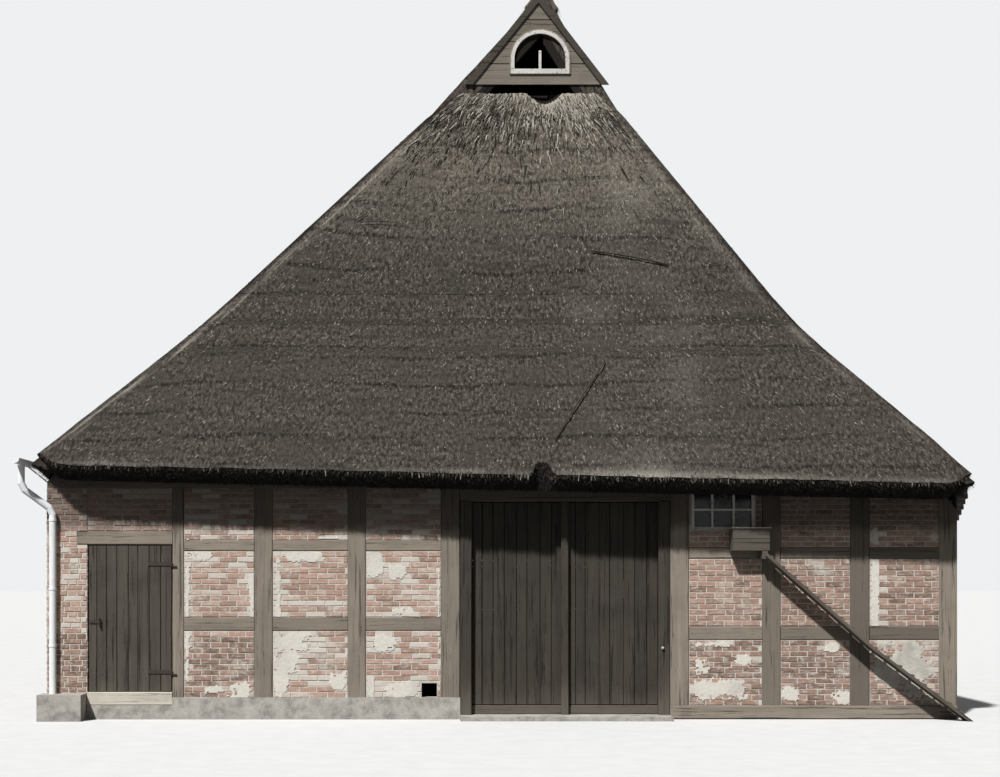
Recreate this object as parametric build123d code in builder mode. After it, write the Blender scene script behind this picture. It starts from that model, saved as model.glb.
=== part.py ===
from build123d import *
from math import hypot
import os

# Thatched farm cottage with a timber-framed front, in millimetres.
# X runs across the front, Y runs back under the ridge and Z is up.
# The origin is on the ground, in the middle of the great doorway, on the front wall's outer face.
os.makedirs("parts", exist_ok=True)

# House plan
house_length = 18000
left_wall_x = -7400
right_wall_x = 5600
frame_depth = 180
infill_thickness = 120
infill_recess = 15
masonry_thickness = 240
masonry_outer_leaf = 110
pier_width = 571

# Great doorway and the posts beside it, each post as a distance to its middle and a width.
# Left posts count from the doorway and the right outer post from the post beside the window.
great_door_width = 3000
great_door_post_width = 275
left_post_places = [(2810, 270), (1475, 264)]
window_post_width = 272
right_outer_post_place = (1264, 286)
side_door_post = (-5529, 170)
corner_post_width = 257

# Sills, rails and plates
plinth_height = 310
plinth_projection = 12
sill_height = 200
left_mid_rail = (1260, 1460)
left_top_rail = (2400, 2560)
right_mid_rail = (1130, 1330)
right_top_rail = (2290, 2460)
plate_bottom = 3300
plate_height = 250
left_plate_bottom = 3140
right_plate_bottom = 2880
side_plate_width = 150
side_plate_height = 200
right_plate_height = 180

# Great door
great_door_head = 3110
jamb_width = 165
jamb_back = 105
step_projection = 280
step_height = 60
threshold_top = 193
centre_post_width = 107
centre_post_depth = 80
centre_post_front = 20
great_leaf_front = 115
great_board_thickness = 35
ledge_thickness = 45
ledge_height = 160
leaf_gap = 20
leaf_edge_clearance = 15
leaf_foot_clearance = 10
great_hinge_levels = (520, 1650, 2780)
great_pin_radius = 11.5
great_eye_wall = 7
great_eye_seat = 3
great_strap_length = 900
great_pintle_arm = 75
great_pintle_thickness = 16
great_pin_rise = 18
brace_run = 520
brace_inset = 60
ledge_inset = 40

# Side door
side_door_left = -6829
side_door_bottom = 390
side_door_top = 2490
side_lintel_height = 200
side_lintel_bearing = 140
side_plinth_height = 200
side_leaf_front = 12
side_board_thickness = 32
side_ledge_thickness = 38
side_ledge_height = 120
side_leaf_clearance = 10
side_hinge_levels = (674, 2217)
side_pin_radius = 7.5
side_eye_wall = 5.5
side_eye_stand_off = 3
side_strap_length = 340
side_crank_length = 14
side_pintle_arm = 70
side_pintle_thickness = 12
side_pin_rise = 12
side_ledge_inset = 40
latch_level = 1390
latch_height = 40
latch_length = 178
latch_inset = 12
handle_bar = 16
handle_height = 110
handle_stand_off = 40
strap_height = 50
strap_thickness = 8
pin_play = 0.5
seat_gap = 0.3

# Windows
window_width = 920
window_height = 590
window_frame_width = 45
window_bar = 24
window_frame_depth = 60
front_window_offset = 35
front_window_post_gap = 84
front_window_bottom = 2700
side_window_bottom = 1500
side_window_centres = (4200, 9000, 13800)
rear_window_post_gap = 32.5
rear_window_rise = 60
window_recess = 50
glass_thickness = 6

# Hen hole, nest box and ramp
hen_hole_offset = 440
hen_hole_width = 220
hen_hole_height = 205
pop_hole_width = 240
pop_hole_height = 170
nest_box_offset = 535
nest_box_width = 520
nest_box_depth = 250
nest_box_bottom = 2400
nest_box_height = 315
nest_board = 24
nest_lid_overhang = 14
ramp_head = (2800, 2330)
ramp_bend = (4300, 1010)
ramp_foot = (5650, 0)
ramp_thickness = 42
ramp_width = 240
ramp_wall_gap = 60
cleat_height = 22
cleat_width = 30
cleat_count = 17
hanger_width = 80

# Roof outline, as run outwards from the ridge or the gablet and height
ridge_height = 12000
left_eave = (7630, 3630)
right_break = (3760, 5990)
right_eave = (5750, 3330)
eaves_corner_radius = 650
gablet_setback = 3850
gablet_height = 1650
hip_break = (-1750, 6000)
hip_eave = (660, 3510)
thatch_thickness = 330
ridge_cap_thickness = 80
ridge_cap_reach = 390
ridge_cap_rounding = 80

# Gablet boarding and owl hole
gablet_board_thickness = 28
gablet_board_rise = 50
gablet_apex_drop = 45
gablet_apex_x = -88
gablet_foot_left = -1332
gablet_foot_right = 1112
verge_board_width = 100
verge_board_thickness = 30
owl_hole_x = -60
owl_hole_radius = 435
owl_sill_rise = 315
owl_springing_rise = 480
owl_rim_width = 82
owl_bar_width = 44
owl_bar_height = 310

# Carpentry inside
rafter_width = 110
rafter_depth = 140
rafter_pairs = 9
jack_rafters = 2
rafter_side_gap = 5
aisle_rafter_lap = 600
hip_rafter_spacing = 1150
tie_beam_top = 5000
tie_beam_height = 280
tie_beam_width = 220
tie_beam_overhang = 140
tie_beam_right = 3900
frame_count = 7
hall_post_offset = 2960
hall_post_width = 220
arcade_plate_height = 220
purlin_width = 200
left_purlin_height = 260
left_purlin_inset = 137
right_purlin_height = 150
collar_level = 8300
collar_height = 160

# Right eaves cornice in brick
course_height = 77
cornice_start = 2840
cornice_steps = 5
cornice_step = 30

# Gutter and downpipe
gutter_radius = 75
gutter_wall = 5
gutter_centre_x = -7712
gutter_rim = 3690
gutter_overrun = 550
bracket_count = 7
bracket_end = 80
bracket_width = 30
bracket_thickness = 8
bracket_tail_fall = 220
bracket_tail_height = 20
pipe_radius = 50
pipe_x = -7300
pipe_wall_gap = 25
pipe_outlet_y = -200
pipe_bend_cut = 60
pipe_neck_top = 3300
pipe_neck_foot = 2980
clip_levels = (1050, 1860, 2840)
clip_height = 30
clip_thickness = 6
drain_block = ((-7460, -6840), (-330, -8), (0, 370))

# Levels and lines that follow from the sizes above
front_wall_back = frame_depth
door_left = -great_door_width / 2
door_right = great_door_width / 2
left_posts = [(door_left - place, width) for place, width in left_post_places]
side_door_right = side_door_post[0] - side_door_post[1] / 2
corner_post = (right_wall_x - corner_post_width / 2, corner_post_width)
left_door_post = (door_left - great_door_post_width / 2, great_door_post_width)
right_door_post = (door_right + great_door_post_width / 2, great_door_post_width)
infill_y = (infill_recess, infill_recess + infill_thickness)
front_window_left = door_right + great_door_post_width + front_window_offset
nest_box_left = front_window_left + nest_box_offset
window_post_x = front_window_left + window_width + front_window_post_gap + window_post_width / 2
right_outer_post = (window_post_x + right_outer_post_place[0], right_outer_post_place[1])
right_posts = [(window_post_x, window_post_width), right_outer_post]
hen_hole_centre = door_left - hen_hole_offset
gablet_foot_height = ridge_height - gablet_height
gablet_board_foot = gablet_foot_height + gablet_board_rise
owl_hole_sill = gablet_foot_height + owl_sill_rise
owl_hole_springing = gablet_foot_height + owl_springing_rise
left_line = [(0, ridge_height), left_eave]
right_line = [(0, ridge_height), right_break, right_eave]
hip_line = [(-gablet_setback, gablet_foot_height), hip_break, hip_eave]
clear_of_roof = 1500


def hand_over(piece, name):
    """Labels a finished piece and writes it to its own file."""
    piece.part.label = name
    export_step(piece.part, f"parts/{name}.step")


def block(x_span, y_span, z_span, mode=Mode.ADD):
    """A squared timber or a stretch of wall between three pairs of planes."""
    spans = (x_span, y_span, z_span)
    with Locations(tuple((low + high) / 2 for low, high in spans)):
        Box(*(high - low for low, high in spans), mode=mode)


def section_across(points, y_span, mode=Mode.ADD):
    """Extrudes an outline given in X and Z from the first Y to the second."""
    with BuildSketch(Plane.XZ.offset(-y_span[1])) as section:
        with BuildLine():
            Polyline(*points, close=True)
        make_face()
    extrude(section.sketch, amount=y_span[1] - y_span[0], mode=mode)


def section_along(points, x_span, mode=Mode.ADD):
    """Extrudes an outline given in Y and Z from the first X to the second."""
    with BuildSketch(Plane.YZ.offset(x_span[0])) as section:
        with BuildLine():
            Polyline(*points, close=True)
        make_face()
    extrude(section.sketch, amount=x_span[1] - x_span[0], mode=mode)


def crossing(first, second):
    """Point where two straight lines cross, each given by two points."""
    (x1, y1), (x2, y2) = first
    (x3, y3), (x4, y4) = second
    turn = (x1 - x2) * (y3 - y4) - (y1 - y2) * (x3 - x4)
    one = x1 * y2 - y1 * x2
    two = x3 * y4 - y3 * x4
    return (one * (x3 - x4) - (x1 - x2) * two) / turn, (one * (y3 - y4) - (y1 - y2) * two) / turn


def parallel_line(line, depth):
    """Roof line set square below another by a depth."""
    runs = []
    for (out_a, z_a), (out_b, z_b) in zip(line, line[1:]):
        length = hypot(out_b - out_a, z_b - z_a)
        inwards = (z_b - z_a) / length * depth
        down = (out_a - out_b) / length * depth
        runs.append(((out_a + inwards, z_a + down), (out_b + inwards, z_b + down)))
    corners = [crossing(first, second) for first, second in zip(runs, runs[1:])]
    return [runs[0][0], *corners, runs[-1][1]]


def height_at(line, out):
    """Height of a roof line at a distance outwards, its end runs carried on."""
    runs = list(zip(line, line[1:]))
    for run in runs:
        if out <= run[1][0]:
            break
    (out_a, z_a), (out_b, z_b) = run
    return z_a + (out - out_a) * (z_b - z_a) / (out_b - out_a)


def carried_on(line, length):
    """Roof line with its last run made longer."""
    (out_a, z_a), (out_b, z_b) = line[-2:]
    share = length / hypot(out_b - out_a, z_b - z_a)
    return [*line[:-1], (out_b + (out_b - out_a) * share, z_b + (z_b - z_a) * share)]


def layer(line, top_depth, bottom_depth, start):
    """Outline of a layer under a roof line, from a plumb start to a square-cut foot."""
    upper = parallel_line(line, top_depth)
    lower = parallel_line(line, bottom_depth)
    upper_start = (start, height_at(upper, start))
    lower_start = (start, height_at(lower, start))
    return [upper_start, *upper[1:], *reversed(lower[1:]), lower_start]


def to_left(outline):
    """Outline of the left slope in X and Z."""
    return [(-out, z) for out, z in outline]


def to_rear(outline):
    """Outline of the rear hip in Y and Z."""
    return [(house_length + out, z) for out, z in outline]


def under_sides(depth):
    """Everything below the two long slopes, at a depth under the thatch's face."""
    left = parallel_line(carried_on(left_line, clear_of_roof), depth)
    right = parallel_line(carried_on(right_line, clear_of_roof), depth)
    top = crossing(to_left(left)[:2], right[:2])
    floor = -clear_of_roof
    return [top, *right[1:], (right[-1][0], floor), (-left[-1][0], floor), *to_left(reversed(left[1:]))]


def under_hips(depth):
    """Everything between the two hips, at a depth under the thatch's face."""
    hip = parallel_line(carried_on(hip_line, clear_of_roof), depth)
    head_heights = (ridge_height + clear_of_roof, height_at(hip, -gablet_setback))
    half = [(-gablet_setback, z) for z in head_heights] + [*hip[1:], (hip[-1][0], -clear_of_roof)]
    return [*to_left(half), *to_rear(reversed(half))]


whole_length = (-clear_of_roof, house_length + clear_of_roof)
whole_width = (left_wall_x - clear_of_roof, right_wall_x + clear_of_roof)


# Thatch
hip_run = hypot(hip_eave[0] - hip_break[0], hip_eave[1] - hip_break[1])
hip_grade = (hip_break[1] - hip_eave[1]) / (hip_eave[0] - hip_break[0])
left_tip_out = hip_eave[0] + (hip_eave[1] - left_eave[1]) / hip_grade
right_tip_out = hip_eave[0] + (hip_eave[1] - right_eave[1]) / hip_grade


def trim_to_eaves():
    """Keeps what stands over the eaves' outline, whose four corners are rounded."""
    with BuildSketch() as plan:
        with BuildLine():
            Polyline(
                (-left_eave[0], -left_tip_out),
                (right_eave[0], -right_tip_out),
                (right_eave[0], house_length + right_tip_out),
                (-left_eave[0], house_length + left_tip_out),
                close=True,
            )
        make_face()
        fillet(plan.vertices(), radius=eaves_corner_radius)
    extrude(plan.sketch, amount=ridge_height + clear_of_roof, mode=Mode.INTERSECT)


def side_thatch(name, outline):
    """One long slope of thatch, trimmed where the hips lap over it."""
    with BuildPart() as slope:
        section_across(outline, whole_length)
        section_along(under_hips(thatch_thickness), whole_width, Mode.INTERSECT)
        trim_to_eaves()
    hand_over(slope, name)


side_thatch("thatch_left", to_left(layer(left_line, 0, thatch_thickness, 0)))
side_thatch("thatch_right", layer(right_line, 0, thatch_thickness, 0))

left_foot_in = to_left(parallel_line(left_line, 2 * thatch_thickness))[-1]
right_foot_in = parallel_line(right_line, 2 * thatch_thickness)[-1]
square_cut_eaves = [*right_line, right_foot_in, left_foot_in, to_left(left_line)[-1]]
hip_layer = layer(carried_on(hip_line, clear_of_roof), 0, thatch_thickness, -gablet_setback)


def hip_thatch(outline, y_of, square_in):
    """One hip of thatch, cut square along an eave that falls from the left tip to the right one."""
    left_tip = Vector(-left_eave[0], y_of(left_tip_out), left_eave[1])
    right_tip = Vector(right_eave[0], y_of(right_tip_out), right_eave[1])
    eave = right_tip - left_tip
    up_slope = eave.cross(square_in)
    if up_slope.Z < 0:
        up_slope = up_slope * -1
    with BuildPart() as hip:
        section_along(outline, whole_width)
        section_across(square_cut_eaves, whole_length, Mode.INTERSECT)
        split(bisect_by=Plane(origin=left_tip, x_dir=eave, z_dir=up_slope), keep=Keep.TOP)
    return hip.part


hip_fall = (hip_break[1] - hip_eave[1]) / hip_run
hip_reach = (hip_eave[0] - hip_break[0]) / hip_run
with BuildPart() as thatch_hips:
    add(hip_thatch(to_left(hip_layer), lambda out: -out, Vector(0, hip_fall, -hip_reach)))
    add(hip_thatch(to_rear(hip_layer), lambda out: house_length + out, Vector(0, -hip_fall, -hip_reach)))
    trim_to_eaves()
hand_over(thatch_hips, "thatch_hips")

with BuildPart() as ridge_cap:
    cap_lines = []
    for slope_line in (to_left(left_line), right_line):
        (x_a, z_a), (x_b, z_b) = slope_line[:2]
        share = ridge_cap_reach / hypot(x_b - x_a, z_b - z_a)
        cap_lines.append(((x_a, z_a), (x_a + (x_b - x_a) * share, z_a + (z_b - z_a) * share)))
    left_skin = to_left(parallel_line([(-x, z) for x, z in cap_lines[0]], -ridge_cap_thickness))
    right_skin = parallel_line(cap_lines[1], -ridge_cap_thickness)
    cap_top = crossing(left_skin, right_skin)
    cap_outline = [cap_top, right_skin[1], cap_lines[1][1], (0, ridge_height), cap_lines[0][1], left_skin[1]]
    section_across(cap_outline, (gablet_setback, house_length - gablet_setback))
    fillet(ridge_cap.edges().filter_by(Axis.Y).sort_by(Axis.Z)[-1], radius=ridge_cap_rounding)
hand_over(ridge_cap, "ridge_cap")

# Gablets
gablet_top = (gablet_apex_x, ridge_height - gablet_apex_drop)
gablet_left_line = [gablet_top, (gablet_foot_left, gablet_board_foot)]
gablet_right_line = [gablet_top, (gablet_foot_right, gablet_board_foot)]


def point_at_height(line, z):
    """Point of a slope's top run at a height."""
    (x_a, z_a), (x_b, z_b) = line[:2]
    return x_a + (x_b - x_a) * (z - z_a) / (z_b - z_a), z


front_board_y = (gablet_setback - gablet_board_thickness, gablet_setback)
rear_board_y = (house_length - front_board_y[1], house_length - front_board_y[0])
trim_y = (front_board_y[0] - verge_board_thickness, front_board_y[0])
rear_trim_y = (house_length - trim_y[1], house_length - trim_y[0])
gablet_corners = [*gablet_right_line, gablet_left_line[1]]

with BuildPart() as gablet_boards:
    for y_span in (front_board_y, rear_board_y):
        with BuildSketch(Plane.XZ.offset(-y_span[1])):
            with BuildLine():
                Polyline(*gablet_corners, close=True)
            make_face()
            with Locations((owl_hole_x, owl_hole_springing)):
                Circle(owl_hole_radius, mode=Mode.SUBTRACT)
            with Locations((owl_hole_x, (owl_hole_springing + gablet_board_foot) / 2)):
                Rectangle(2 * owl_hole_radius, owl_hole_springing - gablet_board_foot, mode=Mode.SUBTRACT)
            with Locations((owl_hole_x, (owl_hole_sill + gablet_board_foot) / 2)):
                Rectangle(2 * owl_hole_radius, owl_hole_sill - gablet_board_foot)
        extrude(amount=gablet_board_thickness)
hand_over(gablet_boards, "gablet_boards")

with BuildPart() as verge_boards:
    inner_left = to_left(parallel_line(to_left(gablet_left_line), verge_board_width))
    inner_right = parallel_line(gablet_right_line, verge_board_width)
    verge_outline = [*gablet_right_line, point_at_height(inner_right, gablet_board_foot)]
    verge_outline += [crossing(inner_left, inner_right), point_at_height(inner_left, gablet_board_foot)]
    verge_outline += [gablet_left_line[1]]
    for y_span in (trim_y, rear_trim_y):
        section_across(verge_outline, y_span)
hand_over(verge_boards, "verge_boards")

with BuildPart() as owl_hole_rims:
    for y_span in (trim_y, rear_trim_y):
        with BuildSketch(Plane.XZ.offset(-y_span[1])):
            with Locations((owl_hole_x, owl_hole_springing)):
                Circle(owl_hole_radius + owl_rim_width)
            below = (owl_hole_springing, owl_hole_sill - owl_rim_width)
            with Locations((owl_hole_x, below[0] - owl_hole_radius)):
                Rectangle(3 * owl_hole_radius, 2 * owl_hole_radius, mode=Mode.SUBTRACT)
            with Locations((owl_hole_x, (below[0] + below[1]) / 2)):
                Rectangle(2 * (owl_hole_radius + owl_rim_width), below[0] - below[1])
            with Locations((owl_hole_x, owl_hole_springing)):
                Circle(owl_hole_radius, mode=Mode.SUBTRACT)
            with Locations((owl_hole_x, (owl_hole_springing + owl_hole_sill) / 2)):
                Rectangle(2 * owl_hole_radius, owl_hole_springing - owl_hole_sill, mode=Mode.SUBTRACT)
            with Locations((owl_hole_x, owl_hole_sill - owl_rim_width / 2)):
                Rectangle(2 * owl_hole_radius, owl_rim_width)
            with Locations((owl_hole_x, owl_hole_sill + owl_bar_height / 2)):
                Rectangle(owl_bar_width, owl_bar_height)
        extrude(amount=verge_board_thickness)
hand_over(owl_hole_rims, "owl_hole_rims")


# Front wall
def post_span(post):
    """X of a post's two sides."""
    return post[0] - post[1] / 2, post[0] + post[1] / 2


front_left_posts = [side_door_post, *left_posts, left_door_post]
front_right_posts = [right_door_post, *right_posts, corner_post]
plate_y = (0, frame_depth)
rear_frame_y = (house_length - frame_depth, house_length)
rear_infill_y = (house_length - infill_y[1], house_length - infill_y[0])
rear_wall_x = (left_wall_x + masonry_thickness, right_wall_x - masonry_thickness)
rear_middle_post = (0, great_door_post_width)
rear_posts_line = [*front_left_posts, rear_middle_post, *front_right_posts[:-1]]

with BuildPart() as wall_posts:
    for post in front_left_posts:
        block(post_span(post), plate_y, (plinth_height, plate_bottom))
    for post in front_right_posts:
        block(post_span(post), plate_y, (sill_height, plate_bottom))
    for post in rear_posts_line:
        block(post_span(post), rear_frame_y, (sill_height, plate_bottom))
    section_across(under_sides(thatch_thickness), whole_length, Mode.INTERSECT)
hand_over(wall_posts, "wall_posts")

left_bays = [(post_span(a)[1], post_span(b)[0]) for a, b in zip(front_left_posts, front_left_posts[1:])]
right_bays = [(post_span(a)[1], post_span(b)[0]) for a, b in zip(front_right_posts, front_right_posts[1:])]

rear_edges = [rear_wall_x[0]]
for post in rear_posts_line:
    rear_edges += post_span(post)
rear_edges += [rear_wall_x[1]]
rear_bays = list(zip(rear_edges[::2], rear_edges[1::2]))
rear_window_bays = (left_bays[1], right_bays[1])
rear_window_width = min(end - start for start, end in rear_window_bays) - 2 * rear_window_post_gap
rear_window_centres = [(start + end) / 2 for start, end in rear_window_bays]

with BuildPart() as wall_rails:
    for bay in left_bays:
        for rail in (left_mid_rail, left_top_rail):
            block(bay, plate_y, rail)
    for bay in right_bays:
        for rail in (right_mid_rail, right_top_rail):
            block(bay, plate_y, rail)
    for bay in rear_bays:
        for rail in (right_mid_rail, right_top_rail):
            block(bay, rear_frame_y, rail)
hand_over(wall_rails, "wall_rails")


def infill(bay, levels, y_span):
    """Brick infill of one bay, split by its rails."""
    for bottom, top in levels:
        block(bay, y_span, (bottom, top))


left_levels = [(plinth_height, left_mid_rail[0]), (left_mid_rail[1], left_top_rail[0])]
left_levels += [(left_top_rail[1], plate_bottom)]
right_levels = [(sill_height, right_mid_rail[0]), (right_mid_rail[1], right_top_rail[0])]
right_levels += [(right_top_rail[1], plate_bottom)]
hen_hole_x = (hen_hole_centre - hen_hole_width / 2, hen_hole_centre + hen_hole_width / 2)
hen_hole_z = (plinth_height, plinth_height + hen_hole_height)
front_window_x = (front_window_left, front_window_left + window_width)
front_window_z = (front_window_bottom, front_window_bottom + window_height)
pop_hole_middle = nest_box_left + nest_box_width / 2
pop_hole_x = (pop_hole_middle - pop_hole_width / 2, pop_hole_middle + pop_hole_width / 2)
pop_hole_z = (right_top_rail[1], right_top_rail[1] + pop_hole_height)
side_lintel_z = (side_door_top, side_door_top + side_lintel_height)
whole_wall = (-clear_of_roof, clear_of_roof)

with BuildPart() as front_brick_left:
    for bay in left_bays:
        infill(bay, left_levels, infill_y)
    block((side_door_left, side_door_right), infill_y, (side_lintel_z[1], plate_bottom))
    block(hen_hole_x, whole_wall, hen_hole_z, Mode.SUBTRACT)
hand_over(front_brick_left, "front_brick_left")

with BuildPart() as front_brick_right:
    for bay in right_bays:
        infill(bay, right_levels, infill_y)
    block(front_window_x, whole_wall, front_window_z, Mode.SUBTRACT)
    block(pop_hole_x, whole_wall, pop_hole_z, Mode.SUBTRACT)
    section_across(under_sides(thatch_thickness), whole_length, Mode.INTERSECT)
hand_over(front_brick_right, "front_brick_right")

with BuildPart() as front_plinth:
    plinth_y = (-plinth_projection, frame_depth)
    block((side_door_right, door_left), plinth_y, (0, plinth_height))
    block((side_door_left, side_door_right), plinth_y, (0, side_plinth_height))
hand_over(front_plinth, "front_plinth")

with BuildPart() as sills:
    block((door_right, right_wall_x), (-plinth_projection, frame_depth), (0, sill_height))
    block(rear_wall_x, rear_frame_y, (0, sill_height))
hand_over(sills, "sills")

with BuildPart() as corner_pier:
    pier_x = (left_wall_x, left_wall_x + pier_width)
    block(pier_x, (0, masonry_thickness), (0, plate_bottom))
    block((pier_x[1] - side_lintel_bearing, pier_x[1]), plate_y, side_lintel_z, Mode.SUBTRACT)
hand_over(corner_pier, "corner_pier")

with BuildPart() as door_lintels:
    block((side_door_left - side_lintel_bearing, side_door_right), plate_y, side_lintel_z)
    block((door_left, door_right), plate_y, (great_door_head, plate_bottom))
hand_over(door_lintels, "door_lintels")

# Doorways
with BuildPart() as great_door_frame:
    for jamb_x in ((door_left, door_left + jamb_width), (door_right - jamb_width, door_right)):
        block(jamb_x, (-plinth_projection, jamb_back), (step_height, great_door_head))
    centre_y = (centre_post_front, centre_post_front + centre_post_depth)
    block((-centre_post_width / 2, centre_post_width / 2), centre_y, (step_height, great_door_head))
hand_over(great_door_frame, "great_door_frame")

with BuildPart() as great_door_step:
    block((door_left, door_right), (-step_projection, frame_depth), (0, step_height))
hand_over(great_door_step, "great_door_step")

with BuildPart() as door_thresholds:
    block((door_left, door_right), (jamb_back, frame_depth), (step_height, threshold_top))
    block((side_door_left, side_door_right), plinth_y, (side_plinth_height, side_door_bottom))
hand_over(door_thresholds, "door_thresholds")

great_board_back = great_leaf_front + great_board_thickness
great_ledge_back = great_board_back + ledge_thickness
great_eye_radius = great_pin_radius + great_eye_wall
great_pin_y = great_ledge_back + strap_thickness + great_eye_radius - great_eye_seat
great_pin_x = great_door_width / 2 - leaf_edge_clearance / 3
leaf_bottom = threshold_top + leaf_foot_clearance
leaf_top = great_door_head - leaf_foot_clearance
leaf_outer = great_door_width / 2 - leaf_edge_clearance
leaf_inner = leaf_gap / 2


def great_leaf(side, name):
    """One leaf of the great door: boards, ledges behind them and strap hinges inside."""
    board_x = sorted((side * leaf_inner, side * leaf_outer))
    ledge_x = sorted((side * (leaf_inner + ledge_inset), side * (leaf_outer - leaf_edge_clearance)))
    with BuildPart() as leaf:
        block(board_x, (great_leaf_front, great_board_back), (leaf_bottom, leaf_top))
        for level in great_hinge_levels:
            ledge_z = (level - ledge_height / 2, level + ledge_height / 2)
            block(ledge_x, (great_board_back, great_ledge_back), ledge_z)
        for low, high in zip(great_hinge_levels, great_hinge_levels[1:]):
            foot = side * (leaf_outer - brace_inset)
            head = side * (leaf_outer - brace_inset - 2 * brace_run)
            foot_z = low + ledge_height / 2
            head_z = high - ledge_height / 2
            brace = [(foot, foot_z), (foot - side * ledge_height, foot_z)]
            brace += [(head, head_z), (head + side * ledge_height, head_z)]
            section_across(brace, (great_board_back, great_ledge_back))
    hand_over(leaf, name)
    with BuildPart() as straps:
        strap_x = sorted((side * great_pin_x, side * (great_pin_x - great_strap_length)))
        for level in great_hinge_levels:
            strap_z = (level - strap_height / 2, level + strap_height / 2)
            block(strap_x, (great_ledge_back, great_ledge_back + strap_thickness), strap_z)
            with Locations((side * great_pin_x, great_pin_y, level)):
                Cylinder(great_eye_radius, strap_height)
                Cylinder(great_pin_radius + pin_play, strap_height, mode=Mode.SUBTRACT)
    hand_over(straps, f"{name}_hinges")


great_leaf(-1, "great_door_left")
great_leaf(1, "great_door_right")

# Side door
side_board_back = side_leaf_front + side_board_thickness
side_ledge_back = side_board_back + side_ledge_thickness
side_leaf_x = (side_door_left + 2 * side_leaf_clearance, side_door_right - side_leaf_clearance)
side_leaf_z = (side_door_bottom + side_leaf_clearance, side_door_top - side_leaf_clearance)
side_eye_radius = side_pin_radius + side_eye_wall
side_pin_x = side_door_right - side_leaf_clearance / 2
side_pin_y = -side_eye_radius - side_eye_stand_off

with BuildPart() as side_door:
    block(side_leaf_x, (side_leaf_front, side_board_back), side_leaf_z)
    for level in side_hinge_levels:
        ledge_z = (level - side_ledge_height / 2, level + side_ledge_height / 2)
        ledge_x = (side_leaf_x[0] + side_ledge_inset, side_leaf_x[1] - side_ledge_inset)
        block(ledge_x, (side_board_back, side_ledge_back), ledge_z)
hand_over(side_door, "side_door")

with BuildPart() as side_door_ironwork:
    strap_y = (side_leaf_front - strap_thickness, side_leaf_front)
    crank_end = side_pin_x - side_pin_radius - side_eye_wall / 2
    crank_x = (crank_end - side_crank_length, crank_end)
    for level in side_hinge_levels:
        strap_z = (level - strap_height / 2, level + strap_height / 2)
        block((side_pin_x - side_strap_length, crank_x[1]), strap_y, strap_z)
        block(crank_x, (side_pin_y - strap_thickness / 2, side_leaf_front), strap_z)
        with Locations((side_pin_x, side_pin_y, level)):
            Cylinder(side_eye_radius, strap_height)
            Cylinder(side_pin_radius + pin_play, strap_height, mode=Mode.SUBTRACT)
    latch_x = (side_leaf_x[0] + latch_inset, side_leaf_x[0] + latch_inset + latch_length)
    block(latch_x, strap_y, (latch_level - latch_height / 2, latch_level + latch_height / 2))
    handle_x = (latch_x[1] - latch_height, latch_x[1] - latch_height + handle_bar)
    handle_front = side_leaf_front - handle_stand_off - handle_bar
    handle_z = (latch_level - handle_height / 2, latch_level + handle_height / 2)
    block(handle_x, (handle_front, handle_front + handle_bar), handle_z)
    for arm_z in ((handle_z[0], handle_z[0] + handle_bar), (handle_z[1] - handle_bar, handle_z[1])):
        block(handle_x, (handle_front, side_leaf_front), arm_z)
hand_over(side_door_ironwork, "side_door_ironwork")

standing = (Align.CENTER, Align.CENTER, Align.MIN)
with BuildPart() as pintles:
    for side in (-1, 1):
        for level in great_hinge_levels:
            seat = level - strap_height / 2 - seat_gap
            arm_x = sorted((side * (great_pin_x - great_pin_radius), side * (great_pin_x + great_pintle_arm)))
            block(arm_x, (frame_depth, great_pin_y + great_pin_radius), (seat - great_pintle_thickness, seat))
            with Locations((side * great_pin_x, great_pin_y, seat)):
                Cylinder(great_pin_radius, strap_height + great_pin_rise, align=standing)
    for level in side_hinge_levels:
        seat = level - strap_height / 2 - seat_gap
        arm_x = (side_pin_x - side_pin_radius, side_pin_x + side_pintle_arm)
        block(arm_x, (side_pin_y - side_pin_radius, 0), (seat - side_pintle_thickness, seat))
        with Locations((side_pin_x, side_pin_y, seat)):
            Cylinder(side_pin_radius, strap_height + side_pin_rise, align=standing)
hand_over(pintles, "pintles")

# Long walls
left_skin_x = (left_wall_x, left_wall_x + masonry_outer_leaf)
left_masonry_x = (left_wall_x, left_wall_x + masonry_thickness)
right_masonry_x = (right_wall_x - masonry_thickness, right_wall_x)
right_skin_x = (right_wall_x - masonry_outer_leaf, right_wall_x)
left_wall_y = (masonry_thickness, house_length)
right_wall_y = (frame_depth, house_length)
side_window_z = (side_window_bottom, side_window_bottom + window_height)


def side_windows(x_span, mode):
    """Blocks where the long walls' windows are."""
    for centre in side_window_centres:
        block(x_span, (centre - window_width / 2, centre + window_width / 2), side_window_z, mode)


with BuildPart() as left_wall:
    block(left_masonry_x, left_wall_y, (0, left_plate_bottom))
    block(left_skin_x, left_wall_y, (left_plate_bottom, left_eave[1]))
    section_across(under_sides(thatch_thickness), whole_length, Mode.INTERSECT)
    side_windows((left_wall_x - clear_of_roof, left_masonry_x[1] + frame_depth), Mode.SUBTRACT)
hand_over(left_wall, "left_wall")

with BuildPart() as right_wall:
    block(right_masonry_x, right_wall_y, (0, right_plate_bottom))
    block(right_skin_x, right_wall_y, (right_plate_bottom, right_eave[1]))
    for step in range(cornice_steps):
        course_z = (cornice_start + step * course_height, right_eave[1])
        course_x = right_wall_x + (step + 1) * cornice_step
        block((right_wall_x, course_x), (0, house_length), course_z)
    section_across(layer(right_line, 0, thatch_thickness, 0), whole_length, Mode.SUBTRACT)
    over_roof = [(x, z + clear_of_roof) for x, z in layer(right_line, 0, clear_of_roof, 0)]
    section_across(over_roof, whole_length, Mode.SUBTRACT)
    side_windows((right_masonry_x[0] - frame_depth, right_wall_x + clear_of_roof), Mode.SUBTRACT)
hand_over(right_wall, "right_wall")

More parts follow.
